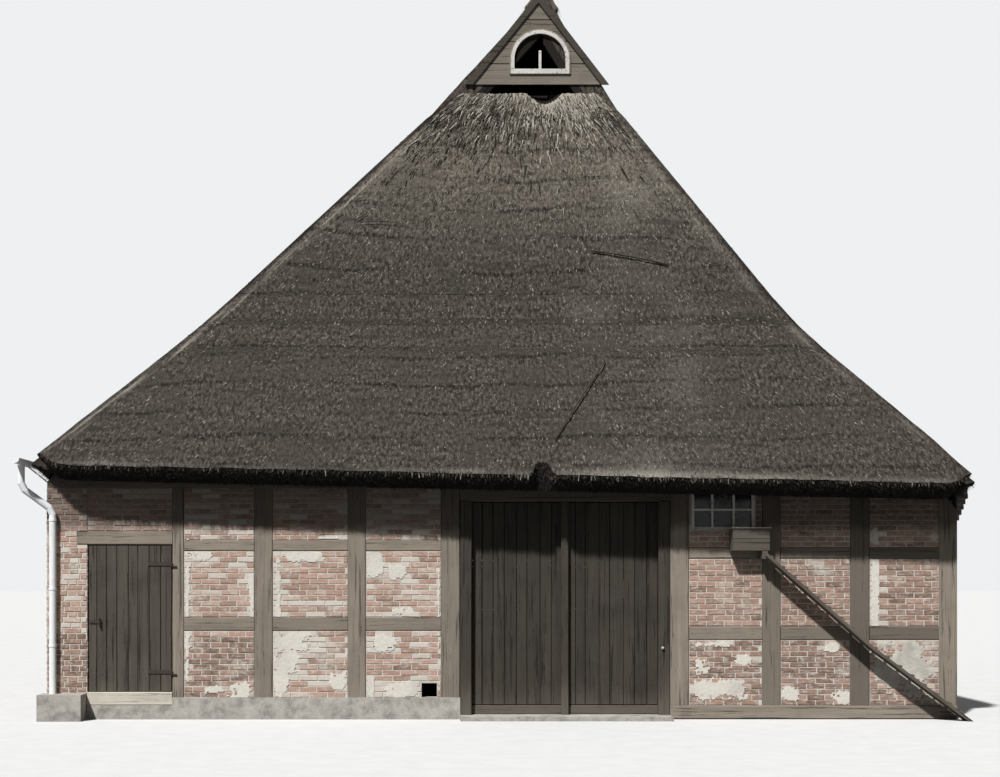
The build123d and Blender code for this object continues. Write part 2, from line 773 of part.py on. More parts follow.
left_plate_x = (left_skin_x[1], left_skin_x[1] + side_plate_width)
right_plate_x = (right_skin_x[0] - side_plate_width, right_skin_x[0])
left_plate_z = (left_plate_bottom, left_plate_bottom + side_plate_height)
right_plate_z = (right_plate_bottom, right_plate_bottom + right_plate_height)
side_plate_y = (masonry_thickness, house_length - masonry_thickness)


def side_plates(mode=Mode.ADD):
    """The two wall plates along the long walls."""
    block(left_plate_x, side_plate_y, left_plate_z, mode)
    block(right_plate_x, side_plate_y, right_plate_z, mode)


with BuildPart() as wall_plates:
    end_plate_z = (plate_bottom, plate_bottom + plate_height)
    block((left_wall_x, right_wall_x), plate_y, end_plate_z)
    block(rear_wall_x, rear_frame_y, end_plate_z)
    side_plates()
    section_across(under_sides(thatch_thickness), whole_length, Mode.INTERSECT)
hand_over(wall_plates, "wall_plates")

# Rear wall
rear_window_bottom = right_mid_rail[1] + rear_window_rise
rear_window_z = (rear_window_bottom, rear_window_bottom + window_height)

with BuildPart() as rear_brick:
    for bay in rear_bays:
        infill(bay, right_levels, rear_infill_y)
    for centre in rear_window_centres:
        window_x = (centre - rear_window_width / 2, centre + rear_window_width / 2)
        block(window_x, rear_frame_y, rear_window_z, Mode.SUBTRACT)
    section_across(under_sides(thatch_thickness), whole_length, Mode.INTERSECT)
hand_over(rear_brick, "rear_brick")


# Windows
def lattice(width_plane, centre, across_centre, width=window_width):
    """Window frame of three by two lights standing in its hole."""
    light_width = width - 2 * window_frame_width
    light_height = window_height - 2 * window_frame_width
    with BuildSketch(width_plane) as frame:
        with Locations((centre, across_centre)):
            Rectangle(width, window_height)
            Rectangle(light_width, light_height, mode=Mode.SUBTRACT)
            for share in (-1 / 6, 1 / 6):
                with Locations((share * width, 0)):
                    Rectangle(window_bar, window_height - window_frame_width)
            Rectangle(width - window_frame_width, window_bar)
    extrude(frame.sketch, amount=window_frame_depth)


def pane(width_plane, centre, across_centre, width=window_width):
    """Sheet of glass behind a window frame."""
    with BuildSketch(width_plane) as sheet:
        with Locations((centre, across_centre)):
            Rectangle(width - window_frame_width, window_height - window_frame_width)
    extrude(sheet.sketch, amount=glass_thickness)


window_back_y = infill_y[1] - window_recess * 2 / 5
front_window_centre = (front_window_left + window_width / 2, front_window_bottom + window_height / 2)
side_window_level = side_window_bottom + window_height / 2
rear_window_level = sum(rear_window_z) / 2
front_frame_plane = Plane.XZ.offset(-window_back_y)
front_glass_plane = Plane.XZ.offset(-window_back_y - glass_thickness)
left_frame_plane = Plane.YZ.offset(left_wall_x + window_recess)
left_glass_plane = Plane.YZ.offset(left_wall_x + window_recess + window_frame_depth)
right_frame_plane = Plane.YZ.offset(right_wall_x - window_recess - window_frame_depth)
right_glass_plane = Plane.YZ.offset(right_wall_x - window_recess - window_frame_depth - glass_thickness)
rear_frame_plane = Plane.XZ.offset(-(house_length - window_back_y + window_frame_depth))
rear_glass_plane = Plane.XZ.offset(-(house_length - window_back_y))

with BuildPart() as window_frames:
    lattice(front_frame_plane, *front_window_centre)
    for centre in side_window_centres:
        lattice(left_frame_plane, centre, side_window_level)
        lattice(right_frame_plane, centre, side_window_level)
    for centre in rear_window_centres:
        lattice(rear_frame_plane, centre, rear_window_level, rear_window_width)
hand_over(window_frames, "window_frames")

with BuildPart() as window_glass:
    pane(front_glass_plane, *front_window_centre)
    for centre in side_window_centres:
        pane(left_glass_plane, centre, side_window_level)
        pane(right_glass_plane, centre, side_window_level)
    for centre in rear_window_centres:
        pane(rear_glass_plane, centre, rear_window_level, rear_window_width)
hand_over(window_glass, "window_glass")

# Nest box and hen ramp
with BuildPart() as nest_box:
    nest_x = (nest_box_left, nest_box_left + nest_box_width)
    nest_y = (-nest_box_depth, 0)
    nest_z = (nest_box_bottom, nest_box_bottom + nest_box_height)
    block(nest_x, nest_y, nest_z)
    inner_x = (nest_x[0] + nest_board, nest_x[1] + nest_board)
    inner_z = (nest_z[0] + nest_board, nest_z[1] - nest_board)
    block(inner_x, (nest_y[0] + nest_board, -nest_board), inner_z, Mode.SUBTRACT)
    block(pop_hole_x, (-2 * nest_board, 2 * nest_board), pop_hole_z, Mode.SUBTRACT)
    lid_x = (nest_x[0] - nest_lid_overhang, nest_x[1] + nest_lid_overhang)
    block(lid_x, (nest_y[0] - nest_lid_overhang, 0), (nest_z[1], nest_z[1] + nest_board))
hand_over(nest_box, "nest_box")

ramp_y = (-ramp_wall_gap - ramp_width, -ramp_wall_gap)
ramp_line = carried_on([ramp_head, ramp_bend, ramp_foot], ramp_width)
ramp_runs = [(ramp_head, ramp_bend), (ramp_bend, ramp_foot)]
ramp_lengths = [hypot(b[0] - a[0], b[1] - a[1]) for a, b in ramp_runs]
cleat_spacing = sum(ramp_lengths) / cleat_count


def cleat_outline(distance):
    """Outline of a cleat that stands on the ramp at a distance from its head."""
    past_bend = distance > ramp_lengths[0]
    (x_a, z_a), (x_b, z_b) = ramp_runs[past_bend]
    run = distance - ramp_lengths[0] * past_bend
    along = ((x_b - x_a) / ramp_lengths[past_bend], (z_b - z_a) / ramp_lengths[past_bend])
    square = (-along[1], along[0])
    corners = []
    for step, rise in ((0, 0), (cleat_width, 0), (cleat_width, cleat_top), (0, cleat_top)):
        corner_x = x_a + along[0] * (run + step) + square[0] * rise
        corner_z = z_a + along[1] * (run + step) + square[1] * rise
        corners.append((corner_x, corner_z))
    return corners


with BuildPart() as hen_ramp:
    cleat_top = ramp_thickness + cleat_height
    section_across([*ramp_line, *reversed(parallel_line(ramp_line, -ramp_thickness))], ramp_y)
    for number in range(cleat_count):
        section_across(cleat_outline((number + 0.3) * cleat_spacing), ramp_y)
    block((0, right_wall_x + clear_of_roof), (-clear_of_roof, 0), (-clear_of_roof, 0), Mode.SUBTRACT)
    hanger_x = (ramp_head[0] - hanger_width / 2, ramp_head[0] + hanger_width / 2)
    block(hanger_x, (ramp_y[0] + ramp_wall_gap, 0), (ramp_head[1] - hanger_width / 2, nest_box_bottom))
hand_over(hen_ramp, "hen_ramp")

# Hall frame and roof carpentry
hip_upper_line = [hip_line[0], hip_line[1]]
foot_layer = parallel_line(hip_upper_line, thatch_thickness)
first_frame_y = -point_at_height(foot_layer, tie_beam_top)[0] + tie_beam_width / 2
frame_spacing = (house_length - 2 * first_frame_y) / (frame_count - 1)
frame_ys = [first_frame_y + number * frame_spacing for number in range(frame_count)]
tie_beam_z = (tie_beam_top - tie_beam_height, tie_beam_top)
arcade_plate_z = (tie_beam_z[0] - arcade_plate_height, tie_beam_z[0])
frame_run = (frame_ys[0] - tie_beam_width / 2, frame_ys[-1] + tie_beam_width / 2)
left_purlin_top = tie_beam_top + left_purlin_height
left_foot = point_at_height(parallel_line(left_line, thatch_thickness), left_purlin_top)
left_purlin_x = (left_purlin_inset - left_foot[0], left_purlin_inset - left_foot[0] + purlin_width)
outer_post_x = sum(left_purlin_x) / 2
tie_beam_left = outer_post_x - tie_beam_overhang


def around(centre, width):
    """Span of a width about a centre."""
    return centre - width / 2, centre + width / 2


with BuildPart() as arcade_plates:
    for side in (-1, 1):
        block(around(side * hall_post_offset, hall_post_width), frame_run, arcade_plate_z)
hand_over(arcade_plates, "arcade_plates")

with BuildPart() as hall_posts:
    for frame_y in frame_ys:
        for side in (-1, 1):
            post_x = around(side * hall_post_offset, hall_post_width)
            block(post_x, around(frame_y, hall_post_width), (0, arcade_plate_z[0]))
        block(around(outer_post_x, hall_post_width), around(frame_y, hall_post_width), (0, tie_beam_z[0]))
hand_over(hall_posts, "hall_posts")

main_right_line = [right_line[0], right_line[1]]
right_purlin_top = tie_beam_top + right_purlin_height
right_foot = point_at_height(parallel_line(main_right_line, thatch_thickness), right_purlin_top)
right_purlin_x = (right_foot[0] - purlin_width, right_foot[0])


def purlins_in_place(mode=Mode.ADD):
    """Purlins on the ends of the tie beams, which carry the rafters."""
    block(left_purlin_x, frame_run, (tie_beam_top, left_purlin_top), mode)
    block(right_purlin_x, frame_run, (tie_beam_top, right_purlin_top), mode)


with BuildPart() as purlins:
    purlins_in_place()
hand_over(purlins, "purlins")

rafter_top = thatch_thickness
rafter_foot = thatch_thickness + rafter_depth
first_pair_y = gablet_setback + rafter_width / 2
pair_spacing = (house_length - 2 * first_pair_y) / (rafter_pairs - 1)
pair_ys = [first_pair_y + number * pair_spacing for number in range(rafter_pairs)]
rafter_numbers = range(-jack_rafters, rafter_pairs + jack_rafters)
rafter_ys = [first_pair_y + number * pair_spacing for number in rafter_numbers]
below_hips = under_hips(rafter_foot)

with BuildPart() as left_rafters:
    outline = to_left(layer(left_line, rafter_top, rafter_foot, 0))
    for rafter_y in rafter_ys:
        section_across(outline, around(rafter_y, rafter_width))
    section_along(below_hips, whole_width, Mode.INTERSECT)
    block((left_wall_x - clear_of_roof, left_skin_x[1]), whole_length, (0, ridge_height), Mode.SUBTRACT)
    side_plates(Mode.SUBTRACT)
    purlins_in_place(Mode.SUBTRACT)
hand_over(left_rafters, "left_rafters")

with BuildPart() as right_rafters:
    outline = layer(carried_on(main_right_line, clear_of_roof), rafter_top, rafter_foot, 0)
    for rafter_y in rafter_ys:
        section_across(outline, around(rafter_y, rafter_width))
    section_along(below_hips, whole_width, Mode.INTERSECT)
    block(whole_width, whole_length, (0, right_purlin_top), Mode.SUBTRACT)

aisle_head = right_break[0] - aisle_rafter_lap
aisle_line = [(aisle_head, height_at(right_line[1:], aisle_head)), right_eave]

with BuildPart() as aisle_rafters:
    outline = layer(aisle_line, rafter_top, rafter_foot, aisle_head)
    for rafter_y in rafter_ys:
        section_across(outline, around(rafter_y + rafter_width + rafter_side_gap, rafter_width))
    section_across(under_sides(rafter_top), whole_length, Mode.INTERSECT)
    section_along(below_hips, whole_width, Mode.INTERSECT)
    block((right_skin_x[0], right_wall_x + clear_of_roof), whole_length, (0, ridge_height), Mode.SUBTRACT)
    side_plates(Mode.SUBTRACT)
    purlins_in_place(Mode.SUBTRACT)

with BuildPart() as right_slope_rafters:
    add(right_rafters.part)
    add(aisle_rafters.part)
hand_over(right_slope_rafters, "right_rafters")

with BuildPart() as collars:
    collar_z = (collar_level, collar_level + collar_height)
    for rafter_y in pair_ys:
        block(whole_width, around(rafter_y, rafter_width), collar_z)
    section_across(under_sides(rafter_foot), whole_length, Mode.INTERSECT)

with BuildPart() as cross_beams:
    add(collars.part)
    for frame_y in frame_ys:
        block((tie_beam_left, tie_beam_right), around(frame_y, tie_beam_width), tie_beam_z)
hand_over(cross_beams, "cross_beams")

upper_hip_layer = layer(carried_on(hip_upper_line, clear_of_roof), rafter_top, rafter_foot, -gablet_setback)
hip_head = hip_break[0] - aisle_rafter_lap
lower_hip_line = [(hip_head, height_at(hip_line[1:], hip_head)), hip_eave]
lower_hip_layer = layer(lower_hip_line, rafter_top, rafter_foot, hip_head)
upper_hip_xs = [number * hip_rafter_spacing for number in range(-4, 4)]
lower_hip_xs = [number * hip_rafter_spacing + rafter_width + rafter_side_gap for number in range(-5, 4)]

with BuildPart() as upper_hip_rafters:
    for to_end in (to_left, to_rear):
        for rafter_x in upper_hip_xs:
            section_along(to_end(upper_hip_layer), around(rafter_x, rafter_width))
    block(whole_width, whole_length, (0, tie_beam_top), Mode.SUBTRACT)
    section_across(under_sides(rafter_top), whole_length, Mode.INTERSECT)

with BuildPart() as eaves_rafters:
    for to_end in (to_left, to_rear):
        for rafter_x in lower_hip_xs:
            section_along(to_end(lower_hip_layer), around(rafter_x, rafter_width))
    section_along(under_hips(rafter_top), whole_width, Mode.INTERSECT)
    section_across(under_sides(rafter_top), whole_length, Mode.INTERSECT)
    block(whole_width, (-clear_of_roof, 0), (0, ridge_height), Mode.SUBTRACT)
    block(whole_width, (house_length, house_length + clear_of_roof), (0, ridge_height), Mode.SUBTRACT)
    for y_span in (plate_y, rear_frame_y):
        block((left_wall_x, right_wall_x), y_span, (0, plate_bottom + plate_height), Mode.SUBTRACT)

with BuildPart() as hip_rafters:
    add(upper_hip_rafters.part)
    add(eaves_rafters.part)
hand_over(hip_rafters, "hip_rafters")

# Gutter and downpipe
gutter_y = (-gutter_overrun, house_length + gutter_overrun)
with BuildPart() as gutter:
    with BuildSketch(Plane.XZ.offset(-gutter_y[1])):
        with Locations((gutter_centre_x, gutter_rim)):
            Circle(gutter_radius)
        with Locations((gutter_centre_x, gutter_rim + gutter_radius)):
            Rectangle(4 * gutter_radius, 2 * gutter_radius, mode=Mode.SUBTRACT)
    extrude(amount=gutter_y[1] - gutter_y[0])
    with BuildSketch(Plane.XZ.offset(-gutter_y[1] + gutter_wall)):
        with Locations((gutter_centre_x, gutter_rim)):
            Circle(gutter_radius - gutter_wall)
    extrude(amount=gutter_y[1] - gutter_y[0] - 2 * gutter_wall, mode=Mode.SUBTRACT)
hand_over(gutter, "gutter")

with BuildPart() as gutter_brackets:
    hoop_inner = gutter_radius + seat_gap
    hoop_outer = hoop_inner + bracket_thickness
    hoop_foot = gutter_rim - hoop_outer
    tail = [(gutter_centre_x + bracket_width, hoop_foot + bracket_thickness)]
    tail += [(left_wall_x, hoop_foot - bracket_tail_fall)]
    tail += [(left_wall_x, hoop_foot - bracket_tail_fall - bracket_tail_height)]
    tail += [(gutter_centre_x + bracket_width / 3, hoop_foot + seat_gap)]
    for number in range(bracket_count):
        middle = bracket_end + number * (house_length - 2 * bracket_end) / (bracket_count - 1)
        with BuildSketch(Plane.XZ.offset(-middle - bracket_width / 2)):
            with Locations((gutter_centre_x, gutter_rim)):
                Circle(hoop_outer)
            with BuildLine():
                Polyline(*tail, close=True)
            make_face()
            with Locations((gutter_centre_x, gutter_rim)):
                Circle(hoop_inner, mode=Mode.SUBTRACT)
            with Locations((gutter_centre_x, gutter_rim + gutter_radius * 2)):
                Rectangle(6 * gutter_radius, 4 * gutter_radius, mode=Mode.SUBTRACT)
        extrude(amount=bracket_width)
hand_over(gutter_brackets, "gutter_brackets")

pipe_y = -pipe_wall_gap - pipe_radius
outlet = Vector(gutter_centre_x, pipe_outlet_y, gutter_rim - gutter_radius - seat_gap)
neck_head = Vector(gutter_centre_x, pipe_outlet_y, pipe_neck_top)
neck_foot = Vector(pipe_x, pipe_y, pipe_neck_foot)
pipe_foot = Vector(pipe_x, pipe_y, drain_block[2][1])


def bend(before, corner, after):
    """Two mitres that turn the pipe round a corner, as a tinsmith joins its lengths."""
    return [corner + (end - corner).normalized() * pipe_bend_cut for end in (before, after)]


with BuildPart() as downpipe:
    neck = [*bend(outlet, neck_head, neck_foot), *bend(neck_head, neck_foot, pipe_foot)]
    with BuildLine() as pipe_path:
        Polyline(outlet, *neck, pipe_foot)
    with BuildSketch(Plane(origin=outlet, z_dir=(0, 0, -1))):
        Circle(pipe_radius)
    sweep(path=pipe_path.wires()[0], transition=Transition.RIGHT)
hand_over(downpipe, "downpipe")

with BuildPart() as pipe_clips:
    for level in clip_levels:
        with Locations((pipe_x, pipe_y, level)):
            Cylinder(pipe_radius + seat_gap + clip_thickness, clip_height)
        block(around(pipe_x, bracket_width), (pipe_y, 0), around(level, clip_height))
        with Locations((pipe_x, pipe_y, level)):
            Cylinder(pipe_radius + seat_gap, clip_height, mode=Mode.SUBTRACT)
hand_over(pipe_clips, "pipe_clips")

with BuildPart() as drain:
    block(*drain_block)
hand_over(drain, "drain_block")
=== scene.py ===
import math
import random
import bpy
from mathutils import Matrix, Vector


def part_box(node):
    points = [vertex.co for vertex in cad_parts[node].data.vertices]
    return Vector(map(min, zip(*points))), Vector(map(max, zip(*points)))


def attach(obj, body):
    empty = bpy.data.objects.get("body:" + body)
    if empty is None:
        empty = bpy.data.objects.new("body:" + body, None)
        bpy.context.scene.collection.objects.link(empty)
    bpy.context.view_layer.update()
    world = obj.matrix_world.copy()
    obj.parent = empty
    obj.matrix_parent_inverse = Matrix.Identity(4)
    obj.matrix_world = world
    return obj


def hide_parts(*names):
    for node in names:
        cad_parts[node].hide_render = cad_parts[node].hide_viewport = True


bl_info = {
    "name": "Thatched Farm Cottage Finish",
    "version": (1, 0, 0),
    "blender": (4, 5, 0),
    "location": "View3D > Sidebar > Cottage",
    "description": "Lays the bricks, boards, timbers and thatch of a farm cottage over its plain frame",
    "category": "Object",
}

import bmesh
import bpy
import numpy as np
from bpy.props import FloatProperty, FloatVectorProperty, IntProperty, PointerProperty
from bpy.types import Operator, Panel, PropertyGroup
from mathutils import Vector, noise

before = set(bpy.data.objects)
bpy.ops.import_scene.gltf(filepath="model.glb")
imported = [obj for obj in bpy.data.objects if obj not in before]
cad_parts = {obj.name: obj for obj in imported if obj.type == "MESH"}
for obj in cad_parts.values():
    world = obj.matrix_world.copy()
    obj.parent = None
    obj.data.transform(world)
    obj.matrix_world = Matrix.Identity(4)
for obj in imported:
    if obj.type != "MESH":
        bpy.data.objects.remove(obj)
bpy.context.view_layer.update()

# Places and sizes of the house, in metres
HOUSE = "house"
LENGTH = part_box("right_wall")[1].y
RIDGE = 12.0
LEFT_SLOPE = [(0.0, 12.0), (7.63, 3.63)]
RIGHT_SLOPE = [(0.0, 12.0), (3.76, 5.99), (5.75, 3.33)]
HIP_SLOPE = [(-3.85, 10.35), (-1.75, 6.0), (0.66, 3.51)]
HIP_LEFT = -LEFT_SLOPE[-1][0]
HIP_WIDTH = RIGHT_SLOPE[-1][0] + LEFT_SLOPE[-1][0]
GABLET_Y = 3.85
GABLET_FOOT = 10.35
THATCH_DEPTH = 0.33
LEFT_TURN = (6.98, 0.092)
RIGHT_TURN = (5.10, -0.17)
BRICK_PANELS = ("front_brick_left", "front_brick_right", "rear_brick")
COURSE = 0.077
STRETCHER = 0.245
HEADER = 0.12
JOINT = 0.013
CORNICE_STEP = 0.030

# Owl hole: its middle, radius, the height where its arch springs and its sill
OWL_MIDDLE = -0.06
OWL_RADIUS = 0.435
OWL_SPRING = 10.83
OWL_SILL = 10.665

# Holes in the front wall: left, right, low, high
HEN_HOLE = (-2.05, -1.83, 0.310, 0.515)
POP_HOLE = (2.485, 2.725, 2.460, 2.630)

# Sizes of the straw ends, tints of the oak, sticks on the roof, one of them a dark rod that stands for a crack's
# shadow: foot, head, radius
STRAW_LENGTH = 0.068
STRAW_WIDTH = 0.017
DARKEST_OAK = 2.3
DARK_OAK = 1.5
PALE_OAK = 0.6
LYING_SPARS = (
    ((-0.16, 3.97), (0.70, 5.26), 0.012),
    # This rod lies along a dark crack in the thatch, as painted shade of the crack.
    ((0.63, 7.23), (1.85, 6.98), 0.014),
    ((-3.06, 7.74), (-2.49, 7.74), 0.009),
)

# Rests of render on the front panels: middle across, middle up, half width, half height
LIME_RESTS = (
    (-5.40, 1.55, 0.045, 1.25), (-5.22, 2.34, 0.19, 0.09), (-4.47, 1.66, 0.05, 0.36), (-4.47, 1.98, 0.07, 0.09),
    (-5.00, 0.42, 0.18, 0.08), (-4.66, 0.40, 0.21, 0.14), (-4.10, 1.85, 0.05, 0.56), (-3.70, 2.33, 0.31, 0.10),
    (-3.40, 2.60, 0.18, 0.03), (-3.90, 1.12, 0.36, 0.17), (-4.00, 0.84, 0.22, 0.20), (-4.06, 0.52, 0.13, 0.24),
    (-3.23, 0.55, 0.15, 0.16), (-2.72, 2.20, 0.14, 0.22), (-2.40, 2.10, 0.14, 0.12), (-2.32, 1.54, 0.20, 0.07),
    (-2.62, 1.09, 0.22, 0.15), (-2.78, 0.48, 0.07, 0.16), (-2.33, 0.43, 0.26, 0.13), (-1.81, 1.60, 0.03, 0.60),
    (2.20, 0.42, 0.45, 0.19), (1.95, 0.75, 0.13, 0.12), (2.55, 0.85, 0.15, 0.10), (2.10, 1.07, 0.28, 0.05),
    (4.85, 0.72, 0.46, 0.44), (3.95, 0.31, 0.20, 0.11), (3.22, 0.36, 0.15, 0.13), (3.80, 1.02, 0.13, 0.09),
    (4.43, 1.90, 0.07, 0.95), (3.04, 1.85, 0.03, 0.45),
)


# Gathering corners and faces into pieces
class Store:
    """Corners and faces of one piece, each corner with the way its grain runs and a tint."""

    def __init__(self):
        self.corners = []
        self.faces = []
        self.grain = []
        self.tint = []

    def add(self, corners, faces, grain, tint):
        base = len(self.corners)
        self.corners.extend(corners)
        self.faces.extend(tuple(base + i for i in face) for face in faces)
        self.grain.extend(grain)
        self.tint.extend(tint if isinstance(tint, list) else [tint] * len(corners))

    def piece(self, name, finish, slot, body=HOUSE, stands_for=(), smooth=False, mend=False):
        mesh = bpy.data.meshes.new(name)
        mesh.from_pydata([tuple(c) for c in self.corners], [], self.faces)
        if mend:
            work = bmesh.new()
            work.from_mesh(mesh)
            bmesh.ops.recalc_face_normals(work, faces=work.faces)
            work.to_mesh(mesh)
            work.free()
        grain = mesh.attributes.new("grain", "FLOAT_VECTOR", "POINT")
        grain.data.foreach_set("vector", np.array([tuple(g) for g in self.grain], np.float32).ravel())
        tint = mesh.attributes.new("tint", "FLOAT", "POINT")
        tint.data.foreach_set("value", np.array(self.tint, np.float32))
        mesh.polygons.foreach_set("use_smooth", [smooth] * len(mesh.polygons))
        mesh.materials.append(finish)
        piece = bpy.data.objects.new(name, mesh)
        bpy.context.scene.collection.objects.link(piece)
        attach(piece, body)
        if stands_for:
            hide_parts(*stands_for)


def waver(x, y, z):
    """Smooth noise at a place, from -1 to 1."""
    return noise.noise(Vector((x, y, z)))


def bell(away, reach, power=2):
    """One at the middle, falling off smoothly on both sides."""
    return math.exp(-((away / reach) ** power))


def unit(value):
    """A value held between 0 and 1."""
    return max(0.0, min(1.0, value))


def grid_faces(rows, width, turned=False):
    """Faces of a grid of corners that lies row after row."""
    order = (0, width, width + 1, 1) if turned else (0, 1, width + 1, width)
    return [tuple(row * width + column + step for step in order)
            for row in range(rows) for column in range(width - 1)]


def tube_faces(rings, sides):
    """Faces between rings of corners that lie one after another."""
    return [(ring * sides + k, ring * sides + (k + 1) % sides, (ring + 1) * sides + (k + 1) % sides,
             (ring + 1) * sides + k) for ring in range(rings - 1) for k in range(sides)]


def round_about(count):
    """Angles of so many corners round a circle."""
    return np.linspace(0, math.tau, count + 1)[:-1]


def hewn(store, low, high, dice, step, wane, chamfer, tint=None):
    """A sawn or hewn timber between two corners, with worn arrises, along its longest side."""
    low = Vector(low)
    high = Vector(high)
    size = high - low
    along = max(range(3), key=lambda i: size[i])
    first, second = [i for i in range(3) if i != along]
    rings = max(2, round(size[along] / step) + 1)
    a = size[first] / 2
    b = size[second] / 2
    c = min(chamfer, 0.3 * min(a, b))
    outline = [(a - c, b), (a, b - c), (a, c - b), (a - c, -b), (c - a, -b), (-a, c - b), (-a, b - c), (c - a, b)]
    offset = Vector((dice.uniform(0, 90), dice.uniform(0, 90), dice.uniform(0, 90)))
    corners = []
    grain = []
    for ring in range(rings):
        run = size[along] * (ring / (rings - 1))
        for u, v in outline:
            pull = wane * (0.5 + 0.5 * noise.noise(Vector((run * 1.7, u * 9, v * 9)) + offset))
            point = (low + high) / 2
            point[along] = low[along] + run
            point[first] += math.copysign(max(abs(u) - pull, abs(u) * 0.6), u)
            point[second] += math.copysign(max(abs(v) - pull, abs(v) * 0.6), v)
            corners.append(point)
            grain.append(Vector((run, u, v)) + offset)
    sides = len(outline)
    ends = [tuple(range(sides)), tuple(reversed(range((rings - 1) * sides, rings * sides)))]
    store.add(corners, tube_faces(rings, sides) + ends, grain, dice.random() if tint is None else tint)


def solids_of(node):
    """The separate solids of a CAD node, each as welded corners and faces."""
    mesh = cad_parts[node].data
    welded = {}
    places = []
    index = []
    for vertex in mesh.vertices:
        key = tuple(round(c, 4) for c in vertex.co)
        if key not in welded:
            welded[key] = len(places)
            places.append(vertex.co.copy())
        index.append(welded[key])
    parent = list(range(len(places)))

    def root(i):
        while parent[i] != i:
            parent[i] = parent[parent[i]]
            i = parent[i]
        return i

    faces = []
    for polygon in mesh.polygons:
        face = []
        for i in polygon.vertices:
            if index[i] not in face:
                face.append(index[i])
        if len(face) > 2:
            faces.append(face)
            for i in face[1:]:
                parent[root(i)] = root(face[0])
    groups = {}
    for face in faces:
        groups.setdefault(root(face[0]), []).append(face)
    solids = []
    for group in groups.values():
        used = sorted({i for face in group for i in face})
        renumber = {old: new for new, old in enumerate(used)}
        solids.append(([places[i] for i in used], [[renumber[i] for i in face] for face in group]))
    return solids


def extent(corners):
    """Lowest and highest corner of a solid."""
    array = np.array([tuple(c) for c in corners])
    return Vector(array.min(0)), Vector(array.max(0))


def is_block(corners, low, high):
    """True for a solid with eight corners, all in the corners of its own box."""
    if len(corners) != 8:
        return False
    return all(min(abs(c[i] - low[i]), abs(c[i] - high[i])) < 0.0005 for c in corners for i in range(3))


def copied(store, corners, faces, dice, tint=None):
    """A solid taken over as it is, with its grain along its longest direction."""
    array = np.array([tuple(c) for c in corners])
    centred = array - array.mean(0)
    axes = np.linalg.eigh(centred.T @ centred)[1][:, ::-1]
    offset = np.array([dice.uniform(0, 90) for _ in range(3)])
    grain = [Vector(g) for g in centred @ axes + offset]
    store.add(corners, faces, grain, dice.random() if tint is None else tint)


def boxes_of(node):
    """Lowest and highest corner of each solid of a CAD node."""
    return [extent(corners) for corners, _ in solids_of(node)]


def dress_timbers(node, finish, slot, step, wane, chamfer):
    """Every solid of a CAD node as a timber, the blocks hewn and the rest taken over as they are, those right of
    the great door with a tint of their own.
    """
    store = Store()
    dice = random.Random(node)
    for corners, faces in solids_of(node):
        low, high = extent(corners)
        if is_block(corners, low, high):
            tint = None
            in_front = low.y < 0.3
            right_of_door = low.x > 1.85
            below_plate = low.z < 2.9
            if slot == "oak" and in_front and right_of_door and below_plate:
                tint = DARKEST_OAK if low.x > 3.9 else DARK_OAK
                door_post = low.x < 2 and high.z - low.z > 1
                if door_post:
                    tint = PALE_OAK
            hewn(store, low, high, dice, step, wane, chamfer, tint)
        else:
            copied(store, corners, faces, dice)
    store.piece(f"{node}_timbers", finish, slot, stands_for=[node], mend=True)


def row_of_boards(store, axis, spans, low, high, dice, gap=0.003, wane=0.002, chamfer=0.003, set_back=0.003):
    """Boards side by side between two corners, split along an axis at the given places."""
    for start, end in zip(spans, spans[1:]):
        board_low = Vector(low)
        board_high = Vector(high)
        board_low[axis] = start + gap * dice.uniform(0.2, 0.8)
        board_high[axis] = end - gap * dice.uniform(0.2, 0.8)
        thin = min((i for i in range(3) if i != axis), key=lambda i: high[i] - low[i])
        board_low[thin] += set_back * dice.random()
        hewn(store, board_low, board_high, dice, 0.5, wane, chamfer)


def uneven_places(start, end, width, dice):
    """Joints between boards of nearly one width."""
    count = max(1, round((end - start) / width))
    shares = [dice.uniform(0.8, 1.2) for _ in range(count)]
    places = [start]
    for share in shares:
        places.append(places[-1] + (end - start) * share / sum(shares))
    return places


